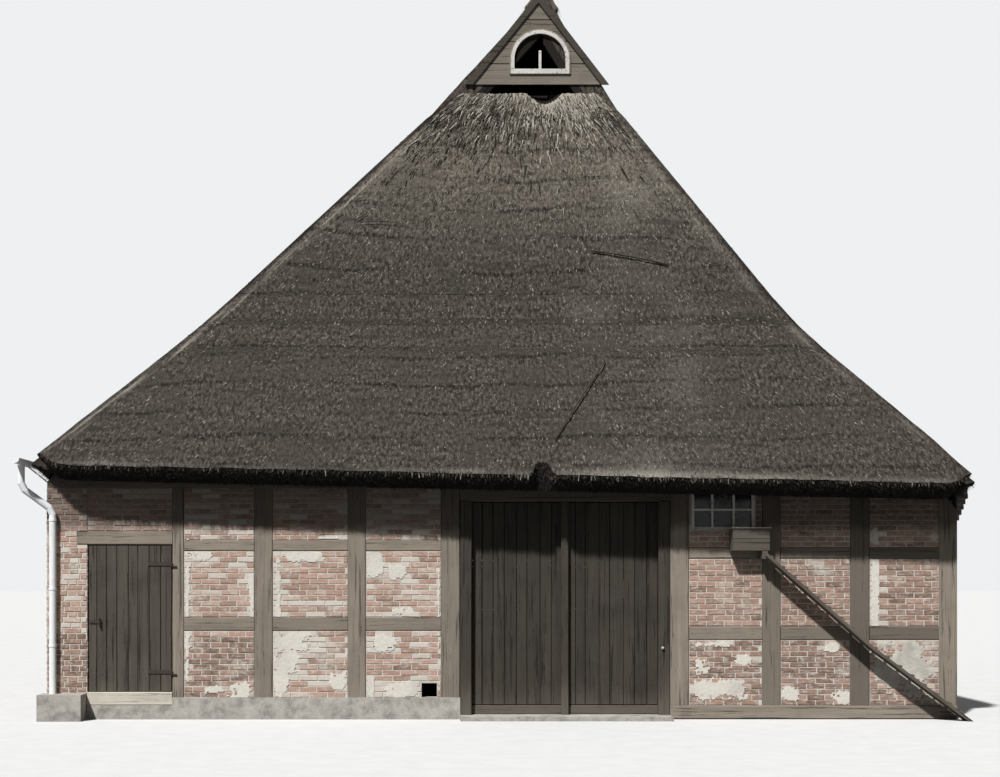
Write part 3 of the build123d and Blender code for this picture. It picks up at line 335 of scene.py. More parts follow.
# Node materials
class Finish:
    """Builds one procedural material."""

    def __init__(self, name, roughness, metallic=0.0):
        self.material = bpy.data.materials.new(name)
        self.material.use_nodes = True
        self.tree = self.material.node_tree
        self.shader = self.tree.nodes["Principled BSDF"]
        self.set(self.shader, Roughness=roughness, Metallic=metallic)
        self.shader.inputs["Specular IOR Level"].default_value = 0.08 if roughness > 0.8 else 0.4
        self.normal = None

    def set(self, node, **values):
        for name, value in values.items():
            node.inputs[name].default_value = value

    def node(self, kind, **settings):
        made = self.tree.nodes.new(kind)
        for key, value in settings.items():
            setattr(made, key, value)
        return made

    def join(self, source, target):
        if isinstance(source, (int, float)):
            target.default_value = source
        elif isinstance(source, (tuple, list)):
            target.default_value = (*source, 1.0) if len(target.default_value) == 4 else source
        else:
            self.tree.links.new(source, target)

    def mark(self, name):
        made = self.node("ShaderNodeAttribute", attribute_name=name)
        return made.outputs["Vector"] if name == "grain" else made.outputs["Fac"]

    def place(self):
        return self.node("ShaderNodeTexCoord").outputs["Object"]

    def part_of(self, vector, letter):
        made = self.node("ShaderNodeSeparateXYZ")
        self.join(vector, made.inputs["Vector"])
        return made.outputs[letter]

    def stretched(self, vector, scale, location=(0, 0, 0)):
        made = self.node("ShaderNodeMapping")
        self.join(vector, made.inputs["Vector"])
        self.set(made, Scale=scale, Location=location)
        return made.outputs["Vector"]

    def clouds(self, vector, scale, detail, roughness, distortion=0.0):
        """Noise, with one scale or with one for each direction."""
        if isinstance(scale, tuple):
            vector, scale = self.stretched(vector, scale), 1.0
        made = self.node("ShaderNodeTexNoise")
        self.join(vector, made.inputs["Vector"])
        self.set(made, Scale=scale, Detail=detail, Roughness=roughness, Distortion=distortion)
        return made.outputs["Fac"]

    def ramp(self, value, *stops):
        made = self.node("ShaderNodeValToRGB")
        self.join(value, made.inputs["Fac"])
        while len(made.color_ramp.elements) < len(stops):
            made.color_ramp.elements.new(0.5)
        for element, (position, colour) in zip(made.color_ramp.elements, stops):
            element.position = position
            element.color = (*colour, 1.0)
        return made.outputs["Color"]

    def mixed(self, factor, first, second):
        made = self.node("ShaderNodeMix", data_type="RGBA", blend_type="MIX")
        self.join(factor, made.inputs["Factor"])
        self.join(first, made.inputs[6])
        self.join(second, made.inputs[7])
        return made.outputs[2]

    def sum(self, first, second, operation="ADD"):
        made = self.node("ShaderNodeMath", operation=operation)
        self.join(first, made.inputs[0])
        self.join(second, made.inputs[1])
        return made.outputs[0]

    def times(self, first, second):
        return self.sum(first, second, "MULTIPLY")

    def between(self, value, low, high, to_low=0.0, to_high=1.0):
        made = self.node("ShaderNodeMapRange", interpolation_type="SMOOTHSTEP")
        self.join(value, made.inputs["Value"])
        for name, number in (("From Min", low), ("From Max", high), ("To Min", to_low), ("To Max", to_high)):
            made.inputs[name].default_value = number
        return made.outputs["Result"]

    def laid(self, base, colour, value, low, high, at_low, at_high):
        """A second colour over a first where a value runs from low to high."""
        return self.mixed(self.between(value, low, high, at_low, at_high), base, colour)

    def bump(self, height, distance, strength):
        made = self.node("ShaderNodeBump")
        self.set(made, Distance=distance, Strength=strength)
        self.join(height, made.inputs["Height"])
        if self.normal is not None:
            self.join(self.normal, made.inputs["Normal"])
        self.normal = made.outputs["Normal"]

    def done(self, colour, roughness=None):
        self.join(colour, self.shader.inputs["Base Color"])
        if roughness is not None:
            self.join(roughness, self.shader.inputs["Roughness"])
        if self.normal is not None:
            self.join(self.normal, self.shader.inputs["Normal"])
        return self.material


def shade(colour, amount):
    """A colour made darker or lighter by a factor."""
    return tuple(min(1.0, c * amount) for c in colour)


def painted_eave_shadow(f, result):
    """The top of the front wall, darkened towards near black above a ragged line: painted shadow of the eaves."""
    shadow_foot, shadow_top = 2.76, 2.96
    place = f.place()
    edge = f.sum(f.part_of(place, "Z"), f.times(f.clouds(place, 2.2, 4.0, 0.65), 0.3))
    cover = f.between(edge, shadow_foot, shadow_top, 0.0, 0.6)
    front = f.between(f.part_of(place, "Y"), 0.3, 0.7, 1.0, 0.0)
    # Painted shadow: the top of the front wall goes near black where the eaves' shade falls.
    return f.mixed(f.times(cover, front), result, (0.013, 0.0115, 0.010))


def wood_finish(name, colour, contrast=1.0, grime=0.25, worn_foot=None, smoked=False):
    """Weathered wood: grain, cracks and stains, one tint to each timber, paler where feet and rain wear it, with
    painted eave shadow on the top of the front wall when asked.
    """
    f = Finish(name, 0.85)
    grain = f.mark("grain")
    fibre = f.clouds(grain, (1.2, 60, 60), 6.0, 0.65)
    figure = f.clouds(grain, (0.5, 9, 9), 4.0, 0.6, 0.6)
    crack = f.clouds(grain, (0.9, 26, 26), 5.0, 0.7)
    stain = f.clouds(f.place(), 1.7, 5.0, 0.65)
    streaks = f.ramp(fibre, (0.3, shade(colour, 1 - 0.38 * contrast)), (0.5, colour),
                     (0.72, shade(colour, 1 + 0.34 * contrast)))
    figured = f.mixed(0.55, streaks, f.ramp(figure, (0.3, shade(colour, 0.72)), (0.7, shade(colour, 1.3))))
    toned = f.mixed(f.times(f.mark("tint"), 0.4), figured, shade(colour, 0.53))
    cracked = f.laid(toned, shade(colour, 0.22), crack, 0.36, 0.42, 0.7, 0.0)
    stained = f.laid(cracked, shade(colour, 0.45), stain, 0.42, 0.68, 0.0, grime)
    if worn_foot:
        splash = f.clouds(f.place(), (3, 3, 0.8), 5.0, 0.7)
        height = f.sum(f.part_of(f.place(), "Z"), f.times(splash, 0.9))
        stained = f.laid(stained, shade(colour, 2.2), height, worn_foot, worn_foot + 0.65, 0.6, 0.0)
    # Painted eave shadow on the top of the front wall.
    if smoked:
        stained = painted_eave_shadow(f, stained)
    f.bump(fibre, 0.003, 0.6)
    f.bump(f.between(crack, 0.34, 0.44), 0.006, 0.8)
    return f.done(stained, f.between(fibre, 0.2, 0.8, 0.75, 0.95))


def slipped_course_shadows(f, lie, tufts):
    """Dark, broken lines where a course of reed has slipped: painted shadow under each slipped course."""
    waves = f.node("ShaderNodeTexWave", wave_type="BANDS", bands_direction="Y", wave_profile="SIN")
    f.join(lie, waves.inputs["Vector"])
    f.set(waves, Scale=0.50, Distortion=6.5, Detail=4.0)
    waves.inputs["Detail Scale"].default_value = 0.28
    waves.inputs["Detail Roughness"].default_value = 0.62
    lines = f.between(waves.outputs["Fac"], 0.0, 0.075, 1.0, 0.0)
    lines = f.times(lines, f.between(f.clouds(lie, (0.32, 0.9, 1), 5.0, 0.7), 0.39, 0.56))
    return f.times(lines, f.between(tufts, 0.40, 0.60, 1.0, 0.35))


def thatch_finish(name, low_colour, high_colour):
    """Old reed: straw ends, slipped courses with painted shadow, moss, undersides and cut edges painted near black
    as shade, painted highlight on the hips' pale edges and eaves lip, paler and drier to the ridge.
    """
    f = Finish(name, 0.95)
    lie = f.mark("grain")
    tint = f.mark("tint")
    straw = f.clouds(lie, (95, 14, 40), 5.0, 0.7)
    tufts = f.clouds(lie, (20, 9, 12), 4.0, 0.65)
    wisps = f.clouds(f.stretched(lie, (34, 11, 12), (5.0, 3.0, 0.0)), 1.0, 4.0, 0.7)
    patches = f.clouds(lie, (1.1, 0.9, 1), 5.0, 0.62)
    ledges = f.clouds(lie, (0.8, 5.2, 1), 4.0, 0.6, 0.4)
    pits = f.node("ShaderNodeTexVoronoi", feature="F1")
    f.join(f.stretched(lie, (34, 20, 20)), pits.inputs["Vector"])
    f.set(pits, Scale=1.0)
    slipped = slipped_course_shadows(f, lie, tufts)
    darkest_up_to, palest_from = 6.5, 10.4
    body = f.mixed(f.between(f.part_of(f.place(), "Z"), darkest_up_to, palest_from), low_colour, high_colour)

    def body_with(share, *colour):
        return f.mixed(share, body, colour)

    reed = f.mixed(f.between(straw, 0.25, 0.75), body_with(0.6, 0.03, 0.026, 0.022),
                   body_with(0.12, 0.5, 0.45, 0.38))
    reed = f.laid(reed, body_with(0.38, 0.46, 0.42, 0.35), wisps, 0.50, 0.61, 0.0, 0.8)
    reed = f.laid(reed, body_with(0.85, 0.012, 0.010, 0.009), tufts, 0.41, 0.54, 0.95, 0.0)
    reed = f.laid(reed, body_with(0.6, 0.06, 0.056, 0.047), patches, 0.45, 0.66, 0.0, 0.65)
    reed = f.laid(reed, (0.035, 0.03, 0.026), ledges, 0.35, 0.43, 0.6, 0.0)
    reed = f.laid(reed, body_with(0.5, 0.04, 0.035, 0.03), pits.outputs["Distance"], 0.05, 0.32, 0.0, 0.35)
    # Painted shadow along the slipped courses.
    reed = f.mixed(f.times(slipped, 0.85), reed, (0.014, 0.012, 0.011))
    # Where the tint is high: dry straw, and painted highlight on the hips' pale edges and eaves lip.
    dry_straw_and_highlight = f.ramp(straw, (0.32, (0.16, 0.143, 0.118)), (0.6, (0.60, 0.555, 0.47)))
    reed = f.laid(reed, dry_straw_and_highlight, tint, 0.55, 1.0, 0.0, 0.8)
    # Painted shade: near black where the tint is low, on the cut edges, the underside, the hip's shaded edge band
    # and the deeper eaves stalks.
    reed = f.laid(reed, (0.016, 0.0135, 0.012), tint, 0.02, 0.44, 1.0, 0.0)
    f.bump(straw, 0.02, 0.8)
    f.bump(tufts, 0.055, 0.9)
    f.bump(ledges, 0.05, 0.35)
    f.bump(slipped, 0.03, -0.5)
    return f.done(reed)


def brick_finish(name, colour, lime):
    """Hand-made brick: one tint to each, burnt ends, specks and rests of limewash, with painted eave shadow on the
    top of the front wall.
    """
    f = Finish(name, 0.9)
    tint = f.mark("tint")
    place = f.place()
    clay = f.ramp(tint, (0.0, shade(colour, 0.5)), (0.25, shade(colour, 0.8)), (0.6, colour),
                  (1.0, shade(colour, 1.35)))
    speck = f.clouds(place, 130, 3.0, 0.7)
    cloud = f.clouds(place, 11, 4.0, 0.6)
    smears = f.clouds(place, (9, 9, 24), 5.0, 0.75)
    clay = f.laid(clay, shade(colour, 0.5), speck, 0.4, 0.7, 0.0, 0.5)
    clay = f.laid(clay, shade(colour, 1.3), cloud, 0.35, 0.7, 0.0, 0.45)
    clay = f.laid(clay, lime, f.clouds(place, 1.6, 6.0, 0.68), 0.54, 0.70, 0.0, 0.75)
    clay = f.laid(clay, lime, smears, 0.5, 0.62, 0.0, 0.5)
    clay = f.laid(clay, lime, f.sum(tint, f.times(smears, 0.9)), 1.45, 2.0, 0.0, 0.85)
    f.bump(speck, 0.003, 0.7)
    f.bump(cloud, 0.006, 0.6)
    # Painted eave shadow over the bricks at the top of the front wall.
    return f.done(painted_eave_shadow(f, clay))


def mortar_finish(name, colour):
    """Sandy lime mortar with damp stains, soiled where its tint is high, with painted eave shadow on the top of
    the front wall.
    """
    f = Finish(name, 0.95)
    place = f.place()
    sand = f.clouds(place, 160, 3.0, 0.75)
    soiled = f.times(f.mark("tint"), f.clouds(place, 4.0, 5.0, 0.7))
    base = f.ramp(sand, (0.3, shade(colour, 0.7)), (0.55, colour), (0.75, shade(colour, 1.15)))
    base = f.laid(base, shade(colour, 0.55), f.clouds(place, 1.3, 6.0, 0.65), 0.5, 0.72, 0.0, 0.4)
    base = f.laid(base, shade(colour, 0.4), soiled, 0.15, 0.6, 0.0, 0.85)
    f.bump(sand, 0.004, 0.7)
    f.bump(f.clouds(place, 18, 4.0, 0.6), 0.012, 0.5)
    # Painted eave shadow over the mortar at the top of the front wall.
    return f.done(painted_eave_shadow(f, base))


def stone_finish(name, colour):
    """Rough stone and old concrete."""
    f = Finish(name, 0.92)
    place = f.place()
    pores = f.clouds(place, 60, 5.0, 0.7)
    cloud = f.clouds(place, 5, 6.0, 0.65)
    base = f.ramp(cloud, (0.3, shade(colour, 0.55)), (0.5, colour), (0.7, shade(colour, 1.25)))
    pored = f.laid(base, shade(colour, 0.3), pores, 0.32, 0.45, 0.6, 0.0)
    f.bump(pores, 0.006, 0.8)
    f.bump(cloud, 0.02, 0.6)
    return f.done(pored)


def paint_finish(name, colour, under):
    """Old white paint, worn through to grey wood in places and all round the owl hole's rim."""
    f = Finish(name, 0.7)
    place = f.place()
    flakes = f.clouds(place, 26, 6.0, 0.72)
    dirty = f.laid(colour, shade(colour, 0.55), f.clouds(place, 4, 5.0, 0.6), 0.4, 0.7, 0.0, 0.35)
    worn = f.mixed(f.between(flakes, 0.57, 0.64), dirty, under)
    from_middle = f.sum(f.part_of(place, "X"), -OWL_MIDDLE)
    above_spring = f.sum(f.sum(f.part_of(place, "Z"), OWL_SPRING, "SUBTRACT"), 0.0, "MAXIMUM")
    rim = f.sum(f.sum(from_middle, 2.0, "POWER"), f.sum(above_spring, 2.0, "POWER"))
    high_up = f.between(f.part_of(place, "Z"), 9.0, 10.0)
    outer = f.between(f.sum(rim, f.times(flakes, 0.05)), 0.262, 0.275)
    worn = f.mixed(f.times(outer, high_up), worn, under)
    f.bump(f.between(flakes, 0.56, 0.65, 1.0, 0.0), 0.002, 0.8)
    return f.done(worn)


def zinc_finish(name, colour):
    """Weathered zinc with run marks."""
    f = Finish(name, 0.55)
    place = f.place()
    runs = f.clouds(place, (30, 30, 2), 4.0, 0.6)
    bloom = f.clouds(place, 14, 5.0, 0.7)
    base = f.laid(colour, shade(colour, 0.75), bloom, 0.35, 0.7, 0.0, 0.4)
    marked = f.laid(base, shade(colour, 0.55), runs, 0.55, 0.7, 0.0, 0.3)
    f.bump(bloom, 0.001, 0.4)
    return f.done(marked, f.between(bloom, 0.3, 0.7, 0.45, 0.75))


def iron_finish(name, colour):
    """Forged iron under rust."""
    f = Finish(name, 0.7, 0.4)
    place = f.place()
    rust = f.clouds(place, 45, 6.0, 0.7)
    rusted = f.laid(colour, (0.075, 0.045, 0.032), rust, 0.45, 0.66, 0.0, 1.0)
    f.bump(f.clouds(place, 220, 3.0, 0.6), 0.0015, 0.8)
    return f.done(rusted, f.between(rust, 0.4, 0.65, 0.5, 0.9))


def glass_finish(name):
    """Thin old window glass, slightly wavy and dusty, tinted dark as painted shade of the window under the eaves.
    """
    f = Finish(name, 0.12)
    f.set(f.shader, IOR=1.3)
    f.shader.inputs["Transmission Weight"].default_value = 0.9
    dust = f.clouds(f.place(), 6, 5.0, 0.65)
    f.bump(f.clouds(f.place(), 7, 2.0, 0.5), 0.01, 0.15)
    # Dark panes: painted shade of the window in the eaves' shadow.
    tone = f.ramp(dust, (0.35, (0.20, 0.22, 0.22)), (0.7, (0.10, 0.11, 0.105)))
    return f.done(tone, f.between(dust, 0.4, 0.75, 0.1, 0.35))


# Roof lines
def out_at(line, z):
    """How far out a roof line stands at a height, its end runs carried on."""
    for (out_a, z_a), (out_b, z_b) in zip(line, line[1:]):
        if z >= z_b:
            break
    return out_a + (z_a - z) * (out_b - out_a) / (z_a - z_b)


def eased(line, z, reach=0.5):
    """The same with the break between two pitches rounded."""
    return (out_at(line, z - reach) + 2 * out_at(line, z) + out_at(line, z + reach)) / 4


def set_in(line, depth):
    """Roof line a depth under the thatch's face."""
    shifted = []
    for (out_a, z_a), (out_b, z_b) in zip(line, line[1:]):
        length = math.hypot(out_b - out_a, z_b - z_a)
        move = ((z_b - z_a) / length * depth, (out_a - out_b) / length * depth)
        shifted.append([(out_a + move[0], z_a + move[1]), (out_b + move[0], z_b + move[1])])
    points = [shifted[0][0]]
    for (p, q), (r, s) in zip(shifted, shifted[1:]):
        turn = (p[0] - q[0]) * (r[1] - s[1]) - (p[1] - q[1]) * (r[0] - s[0])
        one = p[0] * q[1] - p[1] * q[0]
        two = r[0] * s[1] - r[1] * s[0]
        points.append(tuple((one * (r[i] - s[i]) - (p[i] - q[i]) * two) / turn for i in (0, 1)))
    points.append(shifted[-1][1])
    return points


LEFT_INNER = set_in(LEFT_SLOPE, THATCH_DEPTH)
RIGHT_INNER = set_in(RIGHT_SLOPE, THATCH_DEPTH)
HIP_INNER = set_in(HIP_SLOPE, THATCH_DEPTH)


def relief(across, down, depth):
    """Height of the thatch's lumps, ledges and tufts over its plain face."""
    broad = waver(across * 0.5, down * 0.6, 3.0)
    lumps = waver(across * 2.4, down * 2.6, 7.0)
    tufts = waver(across * 9.0, down * 6.0, 11.0)
    phase = down / 0.56 + 0.7 * waver(across * 0.35, down * 0.5, 17.0)
    ledge = (phase - math.floor(phase)) * (0.55 + 0.45 * waver(across * 0.8, down * 0.8, 23.0))
    return depth * (0.30 * broad + 0.22 * lumps + 0.22 * tufts - 0.30 * ledge) - depth * 0.35


def slope_grid(store, place, columns, rows, depth, hip):
    """The weather face of one slope: place gives a point, its outward direction and how the straw lies."""
    corners = []
    grain = []
    tint = []
    for row in range(rows + 1):
        for column in range(columns + 1):
            point, outward, lie = place(column / columns, row / rows)
            inwards = min(column, columns - column) / columns
            corner = point + outward * relief(lie.x, lie.y, depth) * min(1.0, 32 * inwards + 0.25)
            corners.append(corner)
            grain.append(lie)
            tint.append(reed_tone_and_painted_light(corner, lie, hip))
    store.add(corners, grid_faces(rows, columns + 1), grain, tint)
    return corners, grain


def reed_tone_and_painted_light(point, lie, hip):
    """How pale the reed is at a place: 0 black for painted shade, 0.5 plain, 1 dry straw and painted highlight."""
    tone = 0.5
    if hip:
        x, z = point.x, point.z
        to_edge = min(x + eased(LEFT_SLOPE, z), eased(RIGHT_SLOPE, z) - x)
        ragged = 0.05 * waver(z * 3.0, x, 31.0)
        # Painted shade: a dark band along each hip's edge, where the rounded thatch turns away from the light.
        shade_band_width = 0.11 + 0.10 * max(0.0, (z - 5.5) / 5.0)
        tone -= 0.36 * unit((shade_band_width + ragged - to_edge) / 0.05)
        # Paler straw beside that band, and more of it on the left as painted highlight where the light falls from
        # that side.
        beside_shade_band = (to_edge - shade_band_width - ragged) / 0.20
        if 0.0 < beside_shade_band < 1.0:
            strands = 0.5 + waver(to_edge * 38.0, z * 0.9, 71.0)
            tone += (0.34 if x < 0 else 0.16) * strands * math.sin(math.pi * beside_shade_band) ** 0.5
        # Painted highlight: a pale lip along the eaves, where the straw ends catch the light.
        lit_eaves_lip = 1 - (z - eave_height((x - HIP_LEFT) / HIP_WIDTH)) / 0.10
        tone += 0.16 * unit(lit_eaves_lip)
        # Painted highlight: the lower left edge of each hip, lit from the left.
        if z < 8.0 and x + eased(LEFT_SLOPE, z) < 0.05:
            tone += 0.75
        tone += 0.10 * bell(x - 1.3, 1.8)
        if to_edge > shade_band_width:
            tone += 0.42 * unit((z - 9.62 + 0.28 * waver(x * 2.3, 0.0, 41.0)) / 0.35)
    return tone + 0.10 * waver(lie.x * 1.3, lie.y * 1.1, 51.0)


def edge_band(store, upper, upper_lie, lower, bands, dice, rough, tint):
    """The cut edge of the thatch between a line on its face and one on its underside."""
    corners = []
    grain = []
    for band in range(bands + 1):
        share = band / bands
        for a, lie, b in zip(upper, upper_lie, lower):
            inner = 0.0 if band in (0, bands) else 1.0
            shake = Vector((dice.uniform(-1, 1), dice.uniform(-1, 1), dice.uniform(-1, 1))) * rough * inner
            corners.append(a.lerp(b, share) + shake)
            grain.append(Vector((lie.x, lie.y, lie.z + share * THATCH_DEPTH)))
    store.add(corners, grid_faces(bands, len(upper)), grain, tint)


def stalk(store, foot, direction, side, length, width, lie, tint):
    """One flat stalk, tapering to its end."""
    tip = foot + direction * length
    corners = [foot - side * width / 2, foot + side * width / 2, tip + side * width / 5, tip - side * width / 5]
    grain = [lie + Vector(step) for step in ((0, 0, 0), (0.01, 0, 0), (0.01, length, 0), (0, length, 0))]
    store.add(corners, [(0, 1, 2, 3)], grain, tint)


def scatter_stalks(store, place, count, dice, hip):
    """Loose straw ends over a slope, lying down the slope."""
    for _ in range(count):
        f = dice.random()
        t = dice.random() ** 1.15
        point, outward, lie = place(f, t)
        below = place(f, max(0.0, t - 0.01))[0]
        down = (below - point).normalized() if t > 0.012 else Vector((0, 0, -1))
        side = down.cross(outward).normalized()
        turned = (down + side * dice.gauss(0, 0.16) + outward * dice.uniform(0, 0.14)).normalized()
        start = point + outward * (relief(lie.x, lie.y, 0.06) - 0.004)
        tone = min(reed_tone_and_painted_light(point, lie, hip) + dice.gauss(0.0, 0.30), 0.84 if point.z < 9 else 1.0)
        length = STRAW_LENGTH * dice.uniform(0.5, 1.3)
        stalk(store, start, turned, side, length, STRAW_WIDTH * dice.uniform(0.7, 1.3), lie, unit(tone))


# Where each slope lies
def eave_height(f):
    """Height of the eaves along the front, left to right."""
    return LEFT_SLOPE[-1][1] + (RIGHT_SLOPE[-1][1] - LEFT_SLOPE[-1][1]) * f


def eave_notch(x):
    """How far the front eaves are worn up at a place across the front."""
    return 0.19 * bell(x + 0.37, 0.13, 4) + 0.012 * waver(x * 2.2, 0.0, 5.0)


def on_line(line, out):
    """Height of a roof line at a distance out, the reverse of out_at."""
    for (out_a, z_a), (out_b, z_b) in zip(line, line[1:]):
        if out <= out_b:
            break
    return z_a + (out - out_a) * (z_b - z_a) / (out_b - out_a)


def drawn_in(x, y, z, inner):
    """A place on the roof, drawn in and up where the eaves turn a corner of the house."""
    turn_out, turn_ahead = LEFT_TURN if x < 0 else RIGHT_TURN
    rear = y > LENGTH / 2
    ahead = LENGTH - y if rear else y
    beyond_x = abs(x) - turn_out
    beyond_y = turn_ahead - ahead
    if beyond_x <= 0 or beyond_y <= 0:
        return x, y, z
    pull = max(beyond_x, beyond_y) / math.hypot(beyond_x, beyond_y)
    side = (LEFT_INNER if x < 0 else RIGHT_INNER) if inner else (LEFT_SLOPE if x < 0 else RIGHT_SLOPE)
    out = turn_out + beyond_x * pull
    ahead = turn_ahead - beyond_y * pull
    z = min(on_line(HIP_INNER if inner else HIP_SLOPE, -ahead), on_line(side, out))
    return math.copysign(out, x), (LENGTH - ahead if rear else ahead), z


def worn_top(x):
    """How far the front hip's straw has slipped from under the gablet boards."""
    hollow = max(0.0, 1 - abs(x - 0.02) / 0.30) ** 0.7
    return 0.085 + 0.20 * hollow + 0.022 * waver(x * 9.0, 0.0, 61.0) + 0.02 * waver(x * 3.0, 0.0, 63.0)


def grade_of(line, z):
    """How far a roof line runs out for each metre that it falls."""
    return (eased(line, z - 0.05) - eased(line, z + 0.05)) / 0.1


def hip_place(front, inner=False):
    """Place of the front or rear hip's face, or of its underside."""
    line, left, right = ((HIP_INNER, LEFT_INNER, RIGHT_INNER) if inner
                         else (HIP_SLOPE, LEFT_SLOPE, RIGHT_SLOPE))
    worn = front and not inner

    def place(f, t):
        foot = eave_height(f)
        if inner:
            foot += HIP_INNER[-1][1] - HIP_SLOPE[-1][1]
        z = foot + (GABLET_FOOT - foot) * t
        x_left = -eased(left, z)
        x_right = eased(right, z)
        x = x_left + (x_right - x_left) * f
        if worn:
            z += eave_notch(x) * max(0.0, 1 - t * 26)
            z -= worn_top(x) * max(0.0, 1 - (GABLET_FOOT - z) / 0.55)
        out = eased(line, z)
        grade = grade_of(line, z)
        outward = Vector((0, -1 if front else 1, grade)).normalized()
        point = Vector(drawn_in(x, -out if front else LENGTH + out, z, inner))
        edge = min(x - x_left, x_right - x)
        if not inner and edge < 0.25:
            point.z -= 0.06 * (1 - edge / 0.25) ** 2
        if worn:
            point.y += 0.22 * bell(x - 0.02, 0.20, 4) * max(0.0, 1 - (GABLET_FOOT - z) / 0.50)
        return point, outward, Vector((x + (0 if front else 40), (GABLET_FOOT - z) * math.hypot(1, grade), 0))

    return place


def hip_reach(z):
    """Y where the long slopes begin under the front hip at a height."""
    return min(GABLET_Y, -eased(HIP_INNER, z))


def side_place(left, inner=False):
    """Place of a long slope's face, or of its underside."""
    line = (LEFT_INNER if left else RIGHT_INNER) if inner else (LEFT_SLOPE if left else RIGHT_SLOPE)
    sign = -1 if left else 1
    top = on_line(line, 0.0)

    def place(f, t):
        foot = line[-1][1]
        z = foot + (top - foot) * t
        start = hip_reach(z)
        y = start + (LENGTH - 2 * start) * f
        grade = grade_of(line, z)
        outward = Vector((sign, 0, grade)).normalized()
        point = Vector(drawn_in(sign * eased(line, z), y, z, inner))
        return point, outward, Vector((y + (80 if left else 120), (RIDGE - z) * math.hypot(1, grade), 0))

    return place


def thatch_slope(name, stands_for, face, under, finish):
    """One whole slope: weather face, cut edges, underside, straw ends and ragged eaves."""
    s = sizes()
    store = Store()
    dice = random.Random(name)
    hip = "hip" in name
    columns, rows = (s.hip_columns, s.hip_rows) if hip else (s.side_columns, s.side_rows)
    corners, lies = slope_grid(store, face, columns, rows, s.straw_relief, hip)
    width = columns + 1
    under_foot = [under(c / columns, 0)[0] for c in range(width)]
    # The eaves' cut edge gets a low tint: painted shade under the eaves.
    edge_band(store, corners[:width], lies[:width], under_foot, 6, dice, 0.014, 0.08)
    # The side edges' cut faces get a low tint: painted shade.
    for column in (0, columns):
        lower = [under(column / columns, row / rows)[0] for row in range(rows + 1)]
        edge_band(store, corners[column::width], lies[column::width], lower, 4, dice, 0.010, 0.22)
    # The hip's top edge under the gablet gets tint 0, black: painted shade.
    if hip:
        under_top = [under(c / columns, 1)[0] for c in range(width)]
        edge_band(store, corners[-width:], lies[-width:], under_top, 3, dice, 0.008, 0.0)
    # The coarse underside gets tint 0, black: painted shade.
    coarse = 12
    below = [under(column / coarse, row / coarse) for row in range(coarse + 1) for column in range(coarse + 1)]
    points = [point for point, _, _ in below]
    store.add(points, grid_faces(coarse, coarse + 1, True), [lie for _, _, lie in below], 0.0)
    store.piece(f"{name}_face", finish, "thatch", stands_for=stands_for, smooth=True)
    straw = Store()
    scatter_stalks(straw, face, s.straw_ends, dice, hip)
    for _ in range(s.eaves_stalks):
        f = dice.random()
        point, outward, lie = face(f, 0)
        inner = under(f, 0)[0]
        down = (point - face(f, 0.01)[0]).normalized()
        share = dice.random() ** 0.8
        side = down.cross(outward).normalized()
        start = point.lerp(inner, share) - down * 0.03
        turned = (down + side * dice.gauss(0, 0.22) + outward * dice.gauss(0, 0.12)).normalized()
        length = dice.uniform(0.04, 0.09)
        # The tint falls the further in under the eaves the stalk starts: painted shade.
        stalk(straw, start, turned, side, length, 0.009, lie, dice.uniform(0.25, 0.75) * (1 - share))
    if name == "front_hip":
        loose_strands(straw, face, dice)
    straw.piece(f"{name}_face_straw", finish, "thatch")


def loose_strands(store, place, dice):
    """Long dry strands hanging in disorder below the front gablet."""
    for _ in range(3600):
        f = dice.uniform(0.05, 0.94)
        z = GABLET_FOOT - 0.02 - min(2.4, 0.33 * dice.expovariate(1.0))
        foot = eave_height(f)
        t = (z - foot) / (GABLET_FOOT - foot)
        point, outward, lie = place(f, t)
        down = (place(f, t - 0.01)[0] - point).normalized()
        side = down.cross(outward).normalized()
        sideways = side * dice.gauss(0, 0.22) * min(1.0, 6 * min(f, 1 - f))
        turned = (down + sideways + outward * dice.uniform(0.0, 0.12)).normalized()
        start = point + outward * dice.uniform(-0.01, 0.010)
        pale = 0.30 + 0.50 * bell(point.x - 0.25, 0.65) - 0.25 * (GABLET_FOOT - z)
        tone = dice.uniform(0.85, 1.0) if dice.random() < pale else dice.uniform(0.05, 0.45)
        stalk(store, start, turned, side, dice.uniform(0.10, 0.26), dice.uniform(0.010, 0.026), lie, tone)


# Bricks
def lay_bricks(store, along, outward, face, span, levels, dice, holes=(), headers=False):
    """Single bricks in courses over an upright mortar face."""
    bottom, top = levels
    half_bed = 0.006
    half_joint = 0.004
    shortest = 0.035
    crossed = [hole for hole in holes if hole[0] < span[1] and hole[1] > span[0]]
    courses = max(1, round((top - bottom) / COURSE))
    course = (top - bottom) / courses
    for number in range(courses):
        low = bottom + number * course + half_bed
        high = bottom + (number + 1) * course - half_bed
        free = []
        start = span[0]
        for hole_start, hole_end in sorted((h[0], h[1]) for h in crossed if h[2] < high and h[3] > low):
            if hole_start > start:
                free.append((start, hole_start))
            start = max(start, hole_end)
        if start < span[1]:
            free.append((start, span[1]))
        short = headers and number % 2
        length = HEADER if short else STRETCHER
        for begin, end in free:
            at = begin - (0.06 if short else (0.125 if number % 2 else 0.0)) - dice.uniform(0, 0.02)
            while at < end - 0.03:
                size = length + dice.uniform(-0.012, 0.012)
                left = max(begin + half_joint, at)
                right = min(end - half_joint, at + size)
                at += size + JOINT
                if right - left >= shortest:
                    brick(store, along, outward, face, left, right, low, high, dice)


